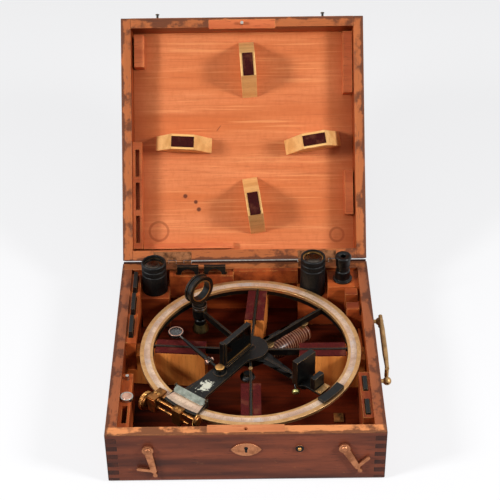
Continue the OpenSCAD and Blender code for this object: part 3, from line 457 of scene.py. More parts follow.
# %% [markdown]
# The lid's panel is the palest board in the set. On the plain wood recipe lie darker streaks, fine lines, a
# mottle, broad bands and pale lines. One noise alone looks printed, and several of different lengths look
# grown. All but the mottle are drawn out along the grain.

# %% The grain of the lid's panel
panel = wood("panel_wood", "X", ORANGE, ORANGE_DARK, PORE, turn=LID_OPEN, gloss=0.5, figure=30.0, pored=0.2)


def drawn_out(stretch, scale, detail, shift=0.0):
    space = panel.place((stretch, 1, 1), (LID_OPEN, 0, 0), (shift, shift, shift))
    return panel.noise(scale, detail, 0.6, space)


streak = drawn_out(0.05, 70.0, 4.0).between(0.6, 0.74)
line = drawn_out(0.02, 420.0, 3.0).between(0.5, 0.7)
bands = drawn_out(0.03, 46.0, 3.0, 5.0).between(0.48, 0.68)
pale_line = drawn_out(0.03, 260.0, 3.0, 2.0).between(0.54, 0.7)
mottle = panel.noise(210.0, 4.0, 0.7, panel.place((1, 0.4, 0.4), (LID_OPEN, 0, 0))).between(0.42, 0.7)
marked = panel.coats(panel.tone(), (streak * 0.45, colour(162, 76, 36)), (line * 0.38, colour(166, 78, 38)),
                     (mottle * 0.22, colour(176, 88, 44)), (bands * 0.3, colour(182, 92, 46)),
                     (pale_line * 0.5, colour(228, 150, 94)))
print("panel nodes", len(panel.nodes))


# %% [markdown]
# The panel has lived: two rings where bottles stood, a few dark dents and a scratch. Besides these marks it
# has painted shade: a soft brown shade toward the side walls and a darker band at its foot by the hinge. They
# could be painted on an image. Here each is a distance to a place on the panel, turned into a mask, so it
# stays sharp from near and is easy to move.

# %% Marks and painted shade on the lid's panel
RINGS = ((-0.115, 0.042, 0.0125), (0.124, 0.035, 0.009))
DENTS = ((-0.079, 0.089, 0.0038), (-0.065, 0.081, 0.0034), (-0.061, 0.071, 0.0038))
SCRATCH_X, SCRATCH_Y = -0.033, 0.18
level = shut(panel, LID_OPEN)
across_panel = panel.axis("X", level)
up_panel = HINGE.y - panel.axis("Y", level)


def from_place(x, y):
    return ((across_panel - x) * (across_panel - x) + (up_panel - y) * (up_panel - y)) ** 0.5


for x, y, radius in RINGS:
    off_ring = abs(from_place(x, y) - radius)
    marked = panel.mix((1 - off_ring.between(0.00088, 0.0022)) * 0.55, marked, colour(140, 62, 30))
for x, y, radius in DENTS:
    dent = 1 - from_place(x, y).between(radius * 0.5, radius)
    marked = panel.mix(dent * 0.9, marked, colour(84, 36, 18))
along_scratch = (across_panel - SCRATCH_X) * 0.6 + (up_panel - SCRATCH_Y) * 0.8
beside_scratch = (across_panel - SCRATCH_X) * 0.8 - (up_panel - SCRATCH_Y) * 0.6
scratch = (1 - abs(along_scratch).between(0.003, 0.006)) * (1 - abs(beside_scratch).between(0.0003, 0.0009))
# Painted shade: the panel darkens toward the side walls and at its foot by the hinge, where the walls shade
# it.
painted_wall_shade = abs(across_panel).between(0.112, 0.147)
painted_foot_shade = 1 - up_panel.between(0.004, 0.03)
marked = panel.coats(marked, (scratch * 0.7, colour(120, 58, 32)), (painted_wall_shade * 0.62, colour(150, 66, 28)),
                     (painted_foot_shade * 0.3, INNER))
print("marks", len(RINGS) + len(DENTS) + 1)

# %% [markdown]
# The outside of the same panel is dark and polished, like the boards round it. The panel is one piece with
# one material, so the colour changes at its top face, by the height that a point has with the lid shut.

# %% The polished outside of the panel
outer_face = panel.axis("Z", level).between(LID_TOP - 0.0012, LID_TOP - 0.0006)
polish = panel.mix(line * 0.5 + bands * 0.3 + streak * 0.12, CASE, CASE_DARK)
panel.set(Base_Color=panel.mix(outer_face, marked, polish))
keep(panel)
print("panel kept")


# %% [markdown]
# Old lacquered brass is not one colour. Where it is handled it stays bright, and in the hollows it turns
# brown. A cloudy noise gives the tarnish, a fine one the specks. The fittings of the case have aged in
# another way than the parts of the circle, so one recipe has a table of tones.

# %% Brass and steel
def brass(name, pale, dark, gloss, tarnish):
    paint = Paint(name, Metallic=1.0)
    cloud = paint.noise(90.0, 6.0, 0.65).between(0.38, 0.68)
    speck = paint.noise(700.0, 3.0, 0.7).between(0.55, 0.7)
    bright = paint.corners(0.0009)
    tone = paint.coats(pale, (cloud * tarnish, dark), (speck * 0.35, dark), (bright * 0.6, pale))
    paint.set(Base_Color=tone, Roughness=gloss + cloud * 0.22 + speck * 0.1)
    paint.bump(speck * 0.4 + cloud * 0.3, 0.00004, 0.5)
    return paint


def steel(name, tone, rust, gloss):
    paint = Paint(name, Metallic=1.0)
    cloud = paint.noise(220.0, 6.0, 0.7).between(0.42, 0.72)
    paint.set(Base_Color=paint.mix(cloud * 0.6, tone, rust), Roughness=gloss + cloud * 0.25)
    paint.bump(cloud, 0.00003, 0.5)
    return paint


BRASSES = (
    ("brass", (196, 146, 84), (92, 58, 30), 0.32, 0.5),
    ("dull_brass", (180, 142, 94), (102, 76, 48), 0.38, 0.7),
    ("hook_brass", (192, 128, 90), (108, 64, 42), 0.38, 0.7),
    ("leaf_brass", (146, 96, 64), (56, 34, 22), 0.42, 0.9),
    ("limb_brass", (214, 170, 116), (150, 104, 62), 0.38, 0.55),
    ("clamp_brass", (158, 104, 56), (44, 34, 20), 0.34, 0.9),
    ("foot_brass", (104, 92, 58), (34, 28, 18), 0.34, 0.75),
    ("knob_brass", (170, 164, 104), (84, 82, 46), 0.3, 0.6),
    ("rose_brass", (214, 168, 146), (120, 78, 60), 0.25, 0.5),
)
for name, pale, dark, gloss, tarnish in BRASSES:
    keep(brass(name, colour(*pale), colour(*dark), gloss, tarnish))
keep(steel("steel", colour(186, 182, 174), colour(96, 84, 72), 0.28))
keep(steel("dark_steel", colour(96, 92, 88), colour(40, 36, 34), 0.22))
keep(steel("lens_coat", colour(92, 86, 78), colour(40, 36, 32), 0.12))
keep(steel("old_silvering", colour(60, 62, 60), colour(26, 26, 24), 0.08))
print("metals ready, materials so far", len(MATERIALS))


# %% [markdown]
# Black lacquer works the other way round: the corners rub through to the brass below it. On the index arm
# a patch of pale paint has mostly flaked off, which a noise cut by the distance from its middle gives.

# %% Black lacquer
PATCH_OUT = 0.088
PATCH_HALF_LENGTH, PATCH_HALF_WIDTH = 0.0108, 0.0064


def pale_patch(paint, coat):
    x, y = paint.axis("X") - HUB.x, paint.axis("Y") - HUB.y
    out = (x * OUT.x + y * OUT.y - PATCH_OUT) / PATCH_HALF_LENGTH
    side = (x * SIDE.x + y * SIDE.y) / PATCH_HALF_WIDTH
    top = paint.axis("Z").between(0.0640, 0.0644)
    flake = paint.noise(250.0, 5.0, 0.65)
    shown = (flake - (out * out + side * side) * 0.11).between(0.4, 0.43) * top
    scratches = paint.noise(520.0, 4.0, 0.7, paint.place(turn=(0, 0, 0.9))).between(0.62, 0.7)
    return paint.coats(coat, (scratches * 0.35, colour(120, 124, 108)), (shown, colour(204, 202, 184)))


def lacquer(name, gloss=0.2, through=0.85, patch=False):
    paint = Paint(name, Specular_IOR_Level=0.24)
    chip = paint.noise(260.0, 5.0, 0.7).between(0.5, 0.62)
    rubbed = (paint.corners(0.0008) * (0.45 + chip)).between(0.2, 0.6) * through
    dust = paint.noise(160.0, 5.0, 0.7)
    coat = paint.mix(dust.between(0.45, 0.75), colour(7, 7, 7), colour(24, 24, 21))
    if patch:
        coat = pale_patch(paint, coat)
    paint.set(Base_Color=paint.mix(rubbed, coat, colour(150, 112, 66)), Metallic=rubbed)
    paint.set(Roughness=gloss + dust * 0.25)
    paint.bump(dust - rubbed, 0.00006, 0.5)
    return paint


keep(lacquer("black_lacquer"))
keep(lacquer("worn_lacquer", 0.32, 1.0))
keep(lacquer("arm_lacquer", 0.28, 1.0, patch=True))
# A plain black without worn corners. On the keyhole it is painted shade that stands for the hole.
keep(lacquer("hole_black", 0.5, 0.0))
print("lacquers ready, materials so far", len(MATERIALS))


# %% [markdown]
# The scale is a band of silver let into the limb. Cut as shapes, its lines would take thousands of faces, so
# they are worked out from the angle around the hub: a saw wave every half degree, a longer line every degree
# and the longest every fifth. The rays are cut off at three radii, just as an engraver does it.

# %% The divided silver band
def scale_band(name, inner, outer, step, long_every):
    paint = Paint(name, Metallic=0.35)
    x, y = paint.axis("X") - HUB.x, paint.axis("Y") - HUB.y
    radius = (x * x + y * y) ** 0.5
    turn = y.math("ARCTAN2", y, x) * (180 / math.pi) + 360.0

    def lines(every, width, reach):
        phase = turn.math("FRACT", turn / every)
        drawn = 1 - (phase.least(1 - phase) * every).between(width * 0.5, width)
        start = outer - (outer - inner) * reach
        return drawn * radius.between(start - 0.0001, start)

    marks = lines(step, 0.10, 0.42).most(lines(step * 2, 0.10, 0.6)).most(lines(long_every, 0.13, 0.85))
    cloud = paint.noise(55.0, 6.0, 0.65)
    grey = paint.noise(26.0, 4.0).between(0.55, 0.68)
    tone = paint.coats(colour(226, 196, 168), (cloud.between(0.35, 0.62), colour(196, 160, 136)),
                       (grey * 0.5, colour(200, 196, 196)), (marks * 0.6, colour(84, 66, 58)))
    paint.set(Base_Color=tone, Roughness=0.34 + cloud * 0.2)
    paint.bump(0 - marks, 0.00005, 0.6)
    return paint


keep(scale_band("silver_band", BAND_R - 0.0074, BAND_R, 0.5, 5.0))
keep(scale_band("vernier_silver", BAND_R - 0.006, BAND_R + 0.002, 0.25, 2.5))
print("scale radius", round(BAND_R, 4))


# %% [markdown]
# The telescope tubes are covered in pebbled leather. A cell texture gives the pebbles and a bump raises
# them, a wide noise rubs some of them grey, and the dark gaps between cells stay deep. The cradles and pads
# have a dyed nap, which is a noise too fine to see as one.

# %% Leather and lining
def leather(name):
    paint = Paint(name, Specular_IOR_Level=0.22)
    pebble = paint.add("TexVoronoi", {"feature": "F1"}, {"Vector": paint.place(), "Scale": 620.0})
    worn = paint.noise(45.0, 5.0, 0.7).between(0.45, 0.75)
    tone = paint.mix(pebble.between(0.1, 0.6), colour(17, 16, 16), colour(5, 5, 5))
    tone = paint.mix(worn * (1 - pebble) * 0.3, tone, colour(84, 78, 72))
    paint.set(Base_Color=tone, Roughness=0.3 + pebble * 0.3)
    paint.bump(1 - pebble, 0.0004, 0.9)
    return paint


def lining(name, tone, shade):
    paint = Paint(name, Roughness=0.85, Specular_IOR_Level=0.12)
    nap = paint.noise(900.0, 3.0, 0.8)
    bald = paint.noise(70.0, 4.0, 0.6).between(0.5, 0.72)
    dyed = paint.mix(nap.between(0.3, 0.7), tone, shade)
    paint.set(Base_Color=paint.mix(bald * 0.35, dyed, colour(128, 74, 52)))
    paint.bump(nap, 0.0002, 0.8)
    return paint


keep(leather("leather"))
keep(lining("maroon_lining", colour(92, 24, 22), colour(46, 11, 11)))
keep(lining("dark_pad", colour(66, 11, 9), colour(30, 5, 5)))
print("soft finishes ready")


# %% [markdown]
# The lenses are clear with a little dust, which is what makes old glass show at all. The diffuser is
# ground glass, so it is only partly clear and has a fine bump.

# %% Clear and ground glass
def clear_glass(name, tint, gloss=0.03):
    paint = Paint(name, Transmission_Weight=1.0, IOR=1.5)
    dust = paint.noise(300.0, 5.0, 0.7)
    paint.set(Base_Color=paint.mix(dust.between(0.4, 0.8) * 0.25, tint, colour(200, 205, 200)))
    paint.set(Roughness=gloss + dust.between(0.5, 0.8) * 0.12)
    return paint


def frosted_glass(name):
    paint = Paint(name, Roughness=0.16, Transmission_Weight=0.35, IOR=1.5)
    cloud = paint.noise(180.0, 5.0, 0.65)
    paint.set(Base_Color=paint.mix(cloud.between(0.3, 0.7), colour(178, 184, 170), colour(128, 134, 120)))
    paint.bump(cloud, 0.0001, 0.5)
    return paint


keep(clear_glass("glass", colour(214, 226, 222)))
keep(frosted_glass("frosted_glass"))
print("materials", len(MATERIALS))


# %% [markdown]
# A solid model has knife edges, and a real board never has. A material can fake a soft edge, but the outline
# would stay sharp. So each node that light should catch is copied, its edges are rounded with a small bevel,
# and the copy stands for the node. The frame itself is untouched.

# %% Replace a node with a rounded copy
SHARP = math.radians(32)


def mark_edges(work, soft=True):
    for face in work.faces:
        face.smooth = soft
    for edge in work.edges:
        edge.smooth = edge.calc_face_angle(math.pi) < SHARP


def rounded(material, width, *nodes):
    """Width is the rounding of the edges, in millimetres."""
    for node in nodes:
        source = NODES[node]
        mesh = source.data.copy()
        mesh.materials.clear()
        mesh.materials.append(MATERIALS[material])
        work = bmesh.new()
        work.from_mesh(mesh)
        bmesh.ops.remove_doubles(work, verts=work.verts, dist=0.000004)
        bmesh.ops.dissolve_limit(work, angle_limit=math.radians(0.5), verts=work.verts, edges=work.edges)
        mark_edges(work)
        work.to_mesh(mesh)
        work.free()
        piece = bpy.data.objects.new(node + "_dressed", mesh)
        bpy.context.scene.collection.objects.link(piece)
        if width:
            bevel = piece.modifiers.new("edge", "BEVEL")
            bevel.width = width * MM
            bevel.segments = 2
            bevel.limit_method = "ANGLE"
            bevel.angle_limit = SHARP
        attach(piece, source["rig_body"])
        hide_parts(node)


# %% [markdown]
# The boards come first. They get a rounding of half a millimetre, a little more than a plane leaves, because
# the case has been carried for a century.

# %% Case and lid
rounded("front_wood", 0.6, "front_board")
rounded("case_wood_x", 0.6, "back_board")
rounded("case_wood_y", 0.6, "side_boards")
rounded("lid_wood_x", 0.6, "lid_front_board", "lid_back_board")
rounded("lid_wood_y", 0.6, "lid_side_boards")
rounded("panel_wood", 0.4, "lid_panel")
rounded("floor_wood", 0.4, "floor_board")
rounded("cradle_wood", 0.5, "cradle_blocks")
rounded("inner_wood_y", 0.4, "accessory_racks")
rounded("inner_wood_x", 0.4, "telescope_wells")
rounded("strip_wood", 0.4, "lid_strips")
rounded("pale_wood", 0.4, "hold_down_blocks")
rounded("dark_pad", 0.6, "hold_down_pads")
rounded("maroon_lining", 0.2, "cradle_linings")
rounded("inlay_wood", 0.2, "lock_inlay")
rounded("hook_brass", 0.2, "escutcheon", "front_screws")
rounded("leaf_brass", 0.2, "hinge_leaves", "lid_hinge_leaves")
rounded("hook_brass", 0.3, "left_hook", "right_hook")
rounded("dull_brass", 0.3, "handle_posts", "bail_handle")
rounded("steel", 0.1, "lock_peg", "hinge_pins", "spare_pieces")
rounded("worn_lacquer", 0.2, "stowed_shades", "hook_studs")
print("case and lid dressed")

# %% [markdown]
# On the circle the ribs, the arm, the collar with its nut and the pillar's foot are black lacquer on brass.
# The limb and the screws are left as brass, and the band that is divided is silver.

# %% The circle and its moving parts
rounded("black_lacquer", 0.3, "wheel_frame", "horizon_bracket", "horizon_clamp", "collar")
rounded("black_lacquer", 0.3, "magnifier_bracket", "eyepiece")
rounded("clamp_brass", 0.3, "clamp_block", "tangent_screw", "clamp_screw")
rounded("black_lacquer", 0.2, "horizon_mirror_frame", "index_mirror_frame", "pillar_sleeve", "pillar_foot",
        "collar_nut")
rounded("arm_lacquer", 0.3, "index_arm")
rounded("limb_brass", 0.2, "limb_ring")
rounded("silver_band", 0.0, "silver_scale")
rounded("vernier_silver", 0.2, "vernier")
rounded("grip_wood", 0.3, "grip")
rounded("dull_brass", 0.3, "grip_posts", "bracket_screws")
rounded("hole_black", 0.3, "centre_axle")
rounded("dark_steel", 0.3, "magnifier_arm")
rounded("old_silvering", 0.1, "index_mirror_glass", "horizon_mirror_glass")
rounded("glass", 0.1, "magnifier_lens", "left_telescope_lens", "right_telescope_lens")
rounded("frosted_glass", 0.2, "diffuser")
rounded("leather", 0.3, "left_telescope", "right_telescope")
print("circle dressed")


# %% [markdown]
# Small added pieces could come from Blender's menus, but those tools depend on what is selected. Here they
# are built from points and faces. One function makes the mesh, turns its faces outward, gives it a finish
# and says which body carries it.

# %% A piece from points and faces
def piece_from(name, verts, faces, material, body, soft=True):
    mesh = bpy.data.meshes.new(name)
    mesh.from_pydata(verts, [], faces)
    work = bmesh.new()
    work.from_mesh(mesh)
    bmesh.ops.recalc_face_normals(work, faces=work.faces)
    mark_edges(work, soft)
    work.to_mesh(mesh)
    work.free()
    mesh.materials.append(MATERIALS[material])
    piece = bpy.data.objects.new(name, mesh)
    bpy.context.scene.collection.objects.link(piece)
    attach(piece, body)


print("edges that turn more than", round(math.degrees(SHARP)), "degrees stay sharp")


# %% [markdown]
# Screw heads, bright rings and linings are turned parts. A modifier could spin each outline, but one lathe
# of our own gives closed pieces at once: it takes an outline as radius and distance along an axis, and spins
# it. A ring is the same with an outline that closes.

# %% A lathe
def directions(axis):
    """The axis as a unit vector, and two more that are square to it."""
    axis = Vector(axis).normalized()
    side = axis.orthogonal().normalized()
    return axis, side, axis.cross(side)


def turned(name, outline, foot, axis, material, body, sides=48, ring=False):
    """Spins (radius, along) points in millimetres about an axis through foot."""
    axis, side, other = directions(axis)
    verts, faces = [], []
    for radius, along in outline:
        for step in range(sides):
            angle = 2 * math.pi * step / sides
            around = side * math.cos(angle) + other * math.sin(angle)
            verts.append(Vector(foot) + axis * (along * MM) + around * (radius * MM))
    rows = len(outline)
    for row in range(rows if ring else rows - 1):
        here, there = row * sides, (row + 1) % rows * sides
        for step in range(sides):
            after = (step + 1) % sides
            faces.append((here + step, here + after, there + after, there + step))
    if not ring:
        faces += [tuple(range(sides)), tuple(range((rows - 1) * sides, rows * sides))]
    piece_from(name, verts, faces, material, body)


def band(name, inner, outer, low, high, foot, axis, material, body, sides=64):
    """A ring of square section, from inner to outer radius and from low to high along its axis."""
    outline = [(inner, low), (outer, low), (outer, high), (inner, high)]
    turned(name, outline, foot, axis, material, body, sides, ring=True)


print("48 sides fall short of a true circle by", round(100 * (1 - math.cos(math.pi / 48)), 2), "percent")


# %% [markdown]
# The rest are small blocks and slotted screws. The slot could be cut from a disc, which leaves thin broken
# faces. Here nothing is cut: two half discs stand on a low disc, and the gap between them is the slot.

# %% A block and a slotted screw
def block(name, centre, along, up, size, material, body):
    """A box of size (along, across, up) in millimetres."""
    along, up = Vector(along).normalized(), Vector(up).normalized()
    across = up.cross(along)
    half_along, half_across, half_up = (value * MM / 2 for value in size)
    verts = []
    for i in (-1, 1):
        for j in (-1, 1):
            for k in (-1, 1):
                offset = along * (i * half_along) + across * (j * half_across) + up * (k * half_up)
                verts.append(Vector(centre) + offset)
    faces = [(0, 1, 3, 2), (4, 6, 7, 5), (0, 4, 5, 1), (2, 3, 7, 6), (0, 2, 6, 4), (1, 5, 7, 3)]
    piece_from(name, verts, faces, material, body, soft=False)


SCREW_HEIGHT = 0.7
SCREW_RIM = 0.28
SCREW_SLOT = math.asin(0.16)


def slotted_screw(name, seat, radius, body, turn):
    """An upright screw head that stands on its seat, with a slot across it."""
    turned(name, [(radius, 0), (radius, SCREW_RIM)], seat, UP, "brass", body, 28)
    cross = (Matrix.Rotation(turn, 3, UP) @ UP.orthogonal()).normalized()
    across = UP.cross(cross)
    for half, sign in (("a", 1), ("b", -1)):
        spokes = []
        for step in range(13):
            angle = SCREW_SLOT + (math.pi - 2 * SCREW_SLOT) * step / 12
            spokes.append(cross * (math.cos(angle) * radius) + across * (sign * math.sin(angle) * radius))
        verts = [Vector(seat) + (UP * SCREW_RIM + spoke) * MM for spoke in spokes]
        verts += [Vector(seat) + (UP * SCREW_HEIGHT + spoke * 0.86) * MM for spoke in spokes]
        count = len(spokes)
        faces = [tuple(range(count)), tuple(range(count, 2 * count))]
        faces += [(i, (i + 1) % count, count + (i + 1) % count, count + i) for i in range(count)]
        piece_from(name + "_" + half, verts, faces, "brass", body, soft=False)


print("screw slot", round(math.degrees(SCREW_SLOT), 1), "degrees to each side")

# %% [markdown]
# The magnifier's pivot shows a bright domed nut on a black washer. Its rod is a tapered black tube drawn
# over the steel, thickest at the fork. The lens sits in a pinkish brass rim. All of these are turned on the
# real one too, so the lathe makes them, on the axes of the magnifier's own joints.

# %% Magnifier pivot, tube and rim
ARM_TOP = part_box("index_mirror_frame")[0].z
pivot = Vector(JOINTS["magnifier_swing"]["pos_m"])
tilt = Vector(JOINTS["magnifier_tilt"]["pos_m"])
tilt_axis = Vector(JOINTS["magnifier_tilt"]["axis"]).normalized()
reach = Vector((tilt.x - pivot.x, tilt.y - pivot.y, 0)).normalized()
turned("pivot_washer", [(8.4, 0), (8.4, 0.7), (7.8, 1.1)], (pivot.x, pivot.y, ARM_TOP + 0.05 * MM), UP,
       "black_lacquer", "index_arm")
turned("pivot_nut", [(5.4, 0), (5.6, 0.4), (5.6, 1.3), (4.9, 1.9), (2.8, 2.3), (0.8, 2.4)],
       (pivot.x, pivot.y, top_of("magnifier_bracket") + 0.02 * MM), UP, "brass", "magnifier_bracket")
turned("magnifier_tube", [(2.2, 0), (2.9, 0.8), (3.0, 16.0), (2.3, 32.0), (1.9, 46.0), (1.7, 47.0)],
       tilt + reach * (5.0 * MM), reach, "black_lacquer", "magnifier", 32)
for label, away in (("near", tilt_axis), ("far", -tilt_axis)):
    turned("knuckle_" + label, [(3.1, 0), (3.3, 0.4), (3.3, 1.4), (2.6, 2.0)], tilt + away * (3.4 * MM), away,
           "rose_brass", "magnifier_bracket", 28)
lens_radius = radius_of("magnifier_lens") / MM
band("magnifier_rim", lens_radius + 0.1, lens_radius + 1.0, -2.3, 2.3, middle("magnifier_lens"), UP,
     "rose_brass", "magnifier")
print("magnifier reach", reach, "lens radius", round(lens_radius, 2))

# %% [markdown]
# The collar that holds the telescope is lined with brass, which shows as a bright edge at both mouths, and
# it has a raised ring near each end. Sizes come from the bore that the frame's record gives, so nothing
# stands in the bore.

# %% Collar
mount = {entry["name"]: entry for entry in frame["record"]["mounts"]}["collar_bore"]
bore_mid, bore_axis = Vector(mount["pos_m"]), Vector(mount["axis"]).normalized()
bore = mount["dims"]["r_mm"]
half_bore = mount["dims"]["length_mm"] / 2
band("collar_lining", bore + 0.02, bore + 1.5, -half_bore - 0.35, half_bore + 0.35, bore_mid, bore_axis,
     "brass", "collar")
for label, end in (("a", -1), ("b", 1)):
    along = end * (half_bore - 0.9)
    band("collar_flange_" + label, bore + 3.4, bore + 6.2, along - 1.2, along + 1.2, bore_mid, bore_axis,
         "black_lacquer", "collar")
print("bore radius", bore)

# %% [markdown]
# The milled nut below the collar carries two bright turned edges, and the pillar's foot under the wheel is a
# bell of darkened brass. The edges stand out a little from the nut, because that is where hands rub it.

# %% Nut edges and foot of the pillar
nut_low, nut_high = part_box("collar_nut")
nut_radius = radius_of("collar_nut") / MM
for label, height in (("low", nut_low.z + 0.1 * MM), ("high", nut_high.z - 1.1 * MM)):
    band("nut_edge_" + label, nut_radius - 0.5, nut_radius + 0.15, 0, 1.0, middle("collar_nut", height), UP,
         "steel", "collar_nut")
bell = [(7.7, 8), (8.2, 9), (8.8, 13), (10.4, 15.4), (10.6, 18.6), (9.6, 19), (9.4, 16.6), (7.7, 14)]
turned("foot_bell", bell, middle("collar_nut", top_of("pillar_foot")), -UP, "foot_brass", "circle")
print("nut radius", round(nut_radius, 2))


# %% [markdown]
# The clamp screw and the tangent screw are turned by their milled heads. A bump could paint the ribs, but
# the outline of a head shows, so they are real shapes. Where a head lies is found from the node's own
# points, as the widest disc on its axis.

# %% Milled heads of the clamp and the tangent screw
TEETH = 44


def milled(name, node, joint):
    line = Vector(JOINTS[joint]["pos_m"])
    axis, side, other = directions(SIDE)
    spread = []
    for place in points(node):
        offset = place - line
        along = offset.dot(axis)
        spread.append(((offset - axis * along).length, along))
    radius = max(away for away, along in spread)
    ends = [along for away, along in spread if away > radius - 0.0004]
    half_tooth = math.pi / TEETH * 0.9
    verts, faces = [], []
    for tooth in range(TEETH):
        first = len(verts)
        for along in (min(ends) + 0.0004, max(ends) - 0.0004):
            for turn, lift in ((-half_tooth, -0.0002), (0.0, 0.00028), (half_tooth, -0.0002)):
                angle = 2 * math.pi * tooth / TEETH + turn
                around = side * math.cos(angle) + other * math.sin(angle)
                verts.append(line + axis * along + around * (radius + lift))
        for corners in ((0, 1, 4, 3), (1, 2, 5, 4), (0, 2, 1), (3, 4, 5), (0, 3, 5, 2)):
            faces.append(tuple(first + corner for corner in corners))
    piece_from(name, verts, faces, "brass", node, soft=False)
    print(name, "radius", round(radius / MM, 2))


milled("tangent_head_ribs", "tangent_screw", "tangent_turn")
milled("clamp_head_ribs", "clamp_screw", "clamp_screw_turn")

# %% [markdown]
# A thin rod runs along the hinge line between the two leaves. Behind it, dark blocks fill the joint between
# the lid and the case as painted shade, so the gap reads dark and no daylight comes through. Plain blocks are
# enough there, because only their dark tone is seen.

# %% Hinge rod and the painted shade in the joint
inner_end = min(abs(place.x) for place in points("hinge_leaves")) / MM - 0.4
outer_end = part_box("hinge_leaves")[1].x / MM + 0.4
wall_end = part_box("back_board")[1].x / MM - 1.0
# Painted shade: dark blocks stand where the joint between lid and case lies in shadow.
for label, low, high in (("middle", -inner_end, inner_end), ("left", -wall_end, -outer_end),
                         ("right", outer_end, wall_end)):
    centre = ((low + high) / 2 * MM, HINGE.y - 0.65 * MM, HINGE.z - 4.4 * MM)
    block("gap_shade_strip_" + label, centre, RIGHT, UP, (high - low, 3.2, 9.6), "gap_shade_wood", "case")
turned("hinge_rod", [(0.7, 0), (0.7, 2 * inner_end)], (-inner_end * MM, HINGE.y + 0.3 * MM, HINGE.z + MM),
       RIGHT, "steel", "case", 16)
print("hinge rod", round(2 * inner_end, 1))


# %% [markdown]
# The vernier's bevel reaches out to both sides of the arm. A block would stand askew on the round scale, so
# it is a flat piece of a ring round the hub, and it lies on the step that the arm has there.

# %% Bevel of the vernier
PLATE_FROM, PLATE_TO, PLATE_BELOW = 0.113, 0.1345, 0.070
BEVEL_IN, BEVEL_OUT, BEVEL_HALF_ANGLE = 0.1185, 0.1334, 10.2
plate_z = max(place.z for place in points("index_arm")
              if PLATE_FROM < (place - HUB).dot(OUT) < PLATE_TO and place.z < PLATE_BELOW)


def sector(name, inner, outer, half_angle, low, high, material, body, steps=24):
    base = math.atan2(OUT.y, OUT.x)
    verts, faces = [], []
    for step in range(steps + 1):
        angle = base + math.radians(half_angle * (2 * step / steps - 1))
        for radius in (inner, outer):
            for height in (low, high):
                verts.append((HUB.x + radius * math.cos(angle), HUB.y + radius * math.sin(angle), height))
    for step in range(steps):
        at, to = 4 * step, 4 * step + 4
        faces += [(at, at + 1, to + 1, to), (at + 2, to + 2, to + 3, at + 3)]
        faces += [(at + 1, at + 3, to + 3, to + 1), (at, to, to + 2, at + 2)]
    last = 4 * steps
    faces += [(0, 2, 3, 1), (last, last + 1, last + 3, last + 2)]
    piece_from(name, verts, faces, material, body, soft=False)


sector("vernier_bevel", BEVEL_IN, BEVEL_OUT, BEVEL_HALF_ANGLE, plate_z + 0.05 * MM, plate_z + 0.4 * MM,
       "vernier_silver", "index_arm")
print("plate height", round(plate_z / MM, 2))

# %% [markdown]
# Two small slotted screws hold the cap of the clamp, and a thin strip of brass holds the foot of the index
# mirror. Their places are taken from the boxes of the clamp and of the mirror's glass.

# %% Cap screws and mirror strip
cap = middle("clamp_block", top_of("clamp_block"))
for step in (-1, 1):
    slotted_screw("clamp_cap_screw_%d" % (step + 1), cap + SIDE * (2.6 * step * MM), 1.9, "clamp", 0.5 + step)
glass_low, glass_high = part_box("index_mirror_glass")
run = Vector((glass_high.x - glass_low.x, glass_high.y - glass_low.y, 0))
face = Vector((run.y, -run.x, 0)).normalized()
foot = middle("index_mirror_glass", glass_low.z + 0.8 * MM)
block("mirror_strip", foot + face * MM, run, UP, (run.length / MM - 1.2, 0.9, 1.4), "brass", "index_arm")
print("mirror run", round(run.length / MM, 1))

# %% [markdown]
# Two spare things lie in the case: a round disc in the left rack, whose face is brighter than its side, and
# a small brass plate on the floor, at the right. The disc is found from the points in its corner.

# %% Spare disc and plate
disc = [place for place in points("spare_pieces") if place.x < -0.1 and place.y < -0.07 and place.z > 0.06]
left, right = min(place.x for place in disc), max(place.x for place in disc)
near, far = min(place.y for place in disc), max(place.y for place in disc)
disc_top = Vector(((left + right) / 2, (near + far) / 2, max(place.z for place in disc)))
disc_radius = (right - left) / 2 / MM
turned("spare_disc_face", [(disc_radius - 1.6, 0.02), (disc_radius - 1.9, 0.25)], disc_top, UP,
       "rose_brass", "case", 40)
block("floor_key", (0.112, -0.067, top_of("floor_board") + 1.1 * MM), RIGHT, UP, (11.5, 15.0, 2.0),
      "clamp_brass", "case")
print("disc", disc_top, round(disc_radius, 1))

# %% [markdown]
# The block that carries the tangent screw's nut is part of the arm, and the real one is polished where the
# arm itself is painted. A mask could change its finish, but a thin brass jacket with two screws also gives
# it the edges of a part of its own.

# %% Jacket of the nut
nut_block = [place for place in points("index_arm")
             if (place - HUB).dot(OUT) > LIMB_R + 0.0002 and place.z < ARM_TOP - 0.006]
outs = [(place - HUB).dot(OUT) for place in nut_block]
sides = [(place - HUB).dot(SIDE) for place in nut_block]
low_z, high_z = min(place.z for place in nut_block), top_of("clamp_block") - 0.3 * MM
jacket = HUB + OUT * ((min(outs) + max(outs)) / 2) + SIDE * ((min(sides) + max(sides)) / 2)
jacket.z = (low_z + high_z) / 2
size = [length / MM + 0.3 for length in (max(sides) - min(sides), max(outs) - min(outs), high_z - low_z)]
block("nut_jacket", jacket, SIDE, UP, size, "clamp_brass", "index_arm")
jacket.z = high_z + 0.16 * MM
for step in (-1, 1):
    seat = jacket + SIDE * (2.4 * step * MM)
    slotted_screw("jacket_screw_%d" % (step + 1), seat, 1.8, "index_arm", 0.9 * step)
print("nut jacket", [round(length, 1) for length in size])

# %% [markdown]
# On the front board the escutcheon has its keyhole, a round hole over a slot, and the round stud to the
# right of it is a brass ball in a dark ring. The keyhole isn't cut either: a black disc and a black bar lie
# on the plate as painted shade of the hole, and at this size they look just as deep.

# %% Keyhole and stud
KEYHOLE_Z, SLOT_Z = 0.0532, 0.0499
STUD_X, STUD_Z = 0.061, 0.052
board_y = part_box("escutcheon")[0].y
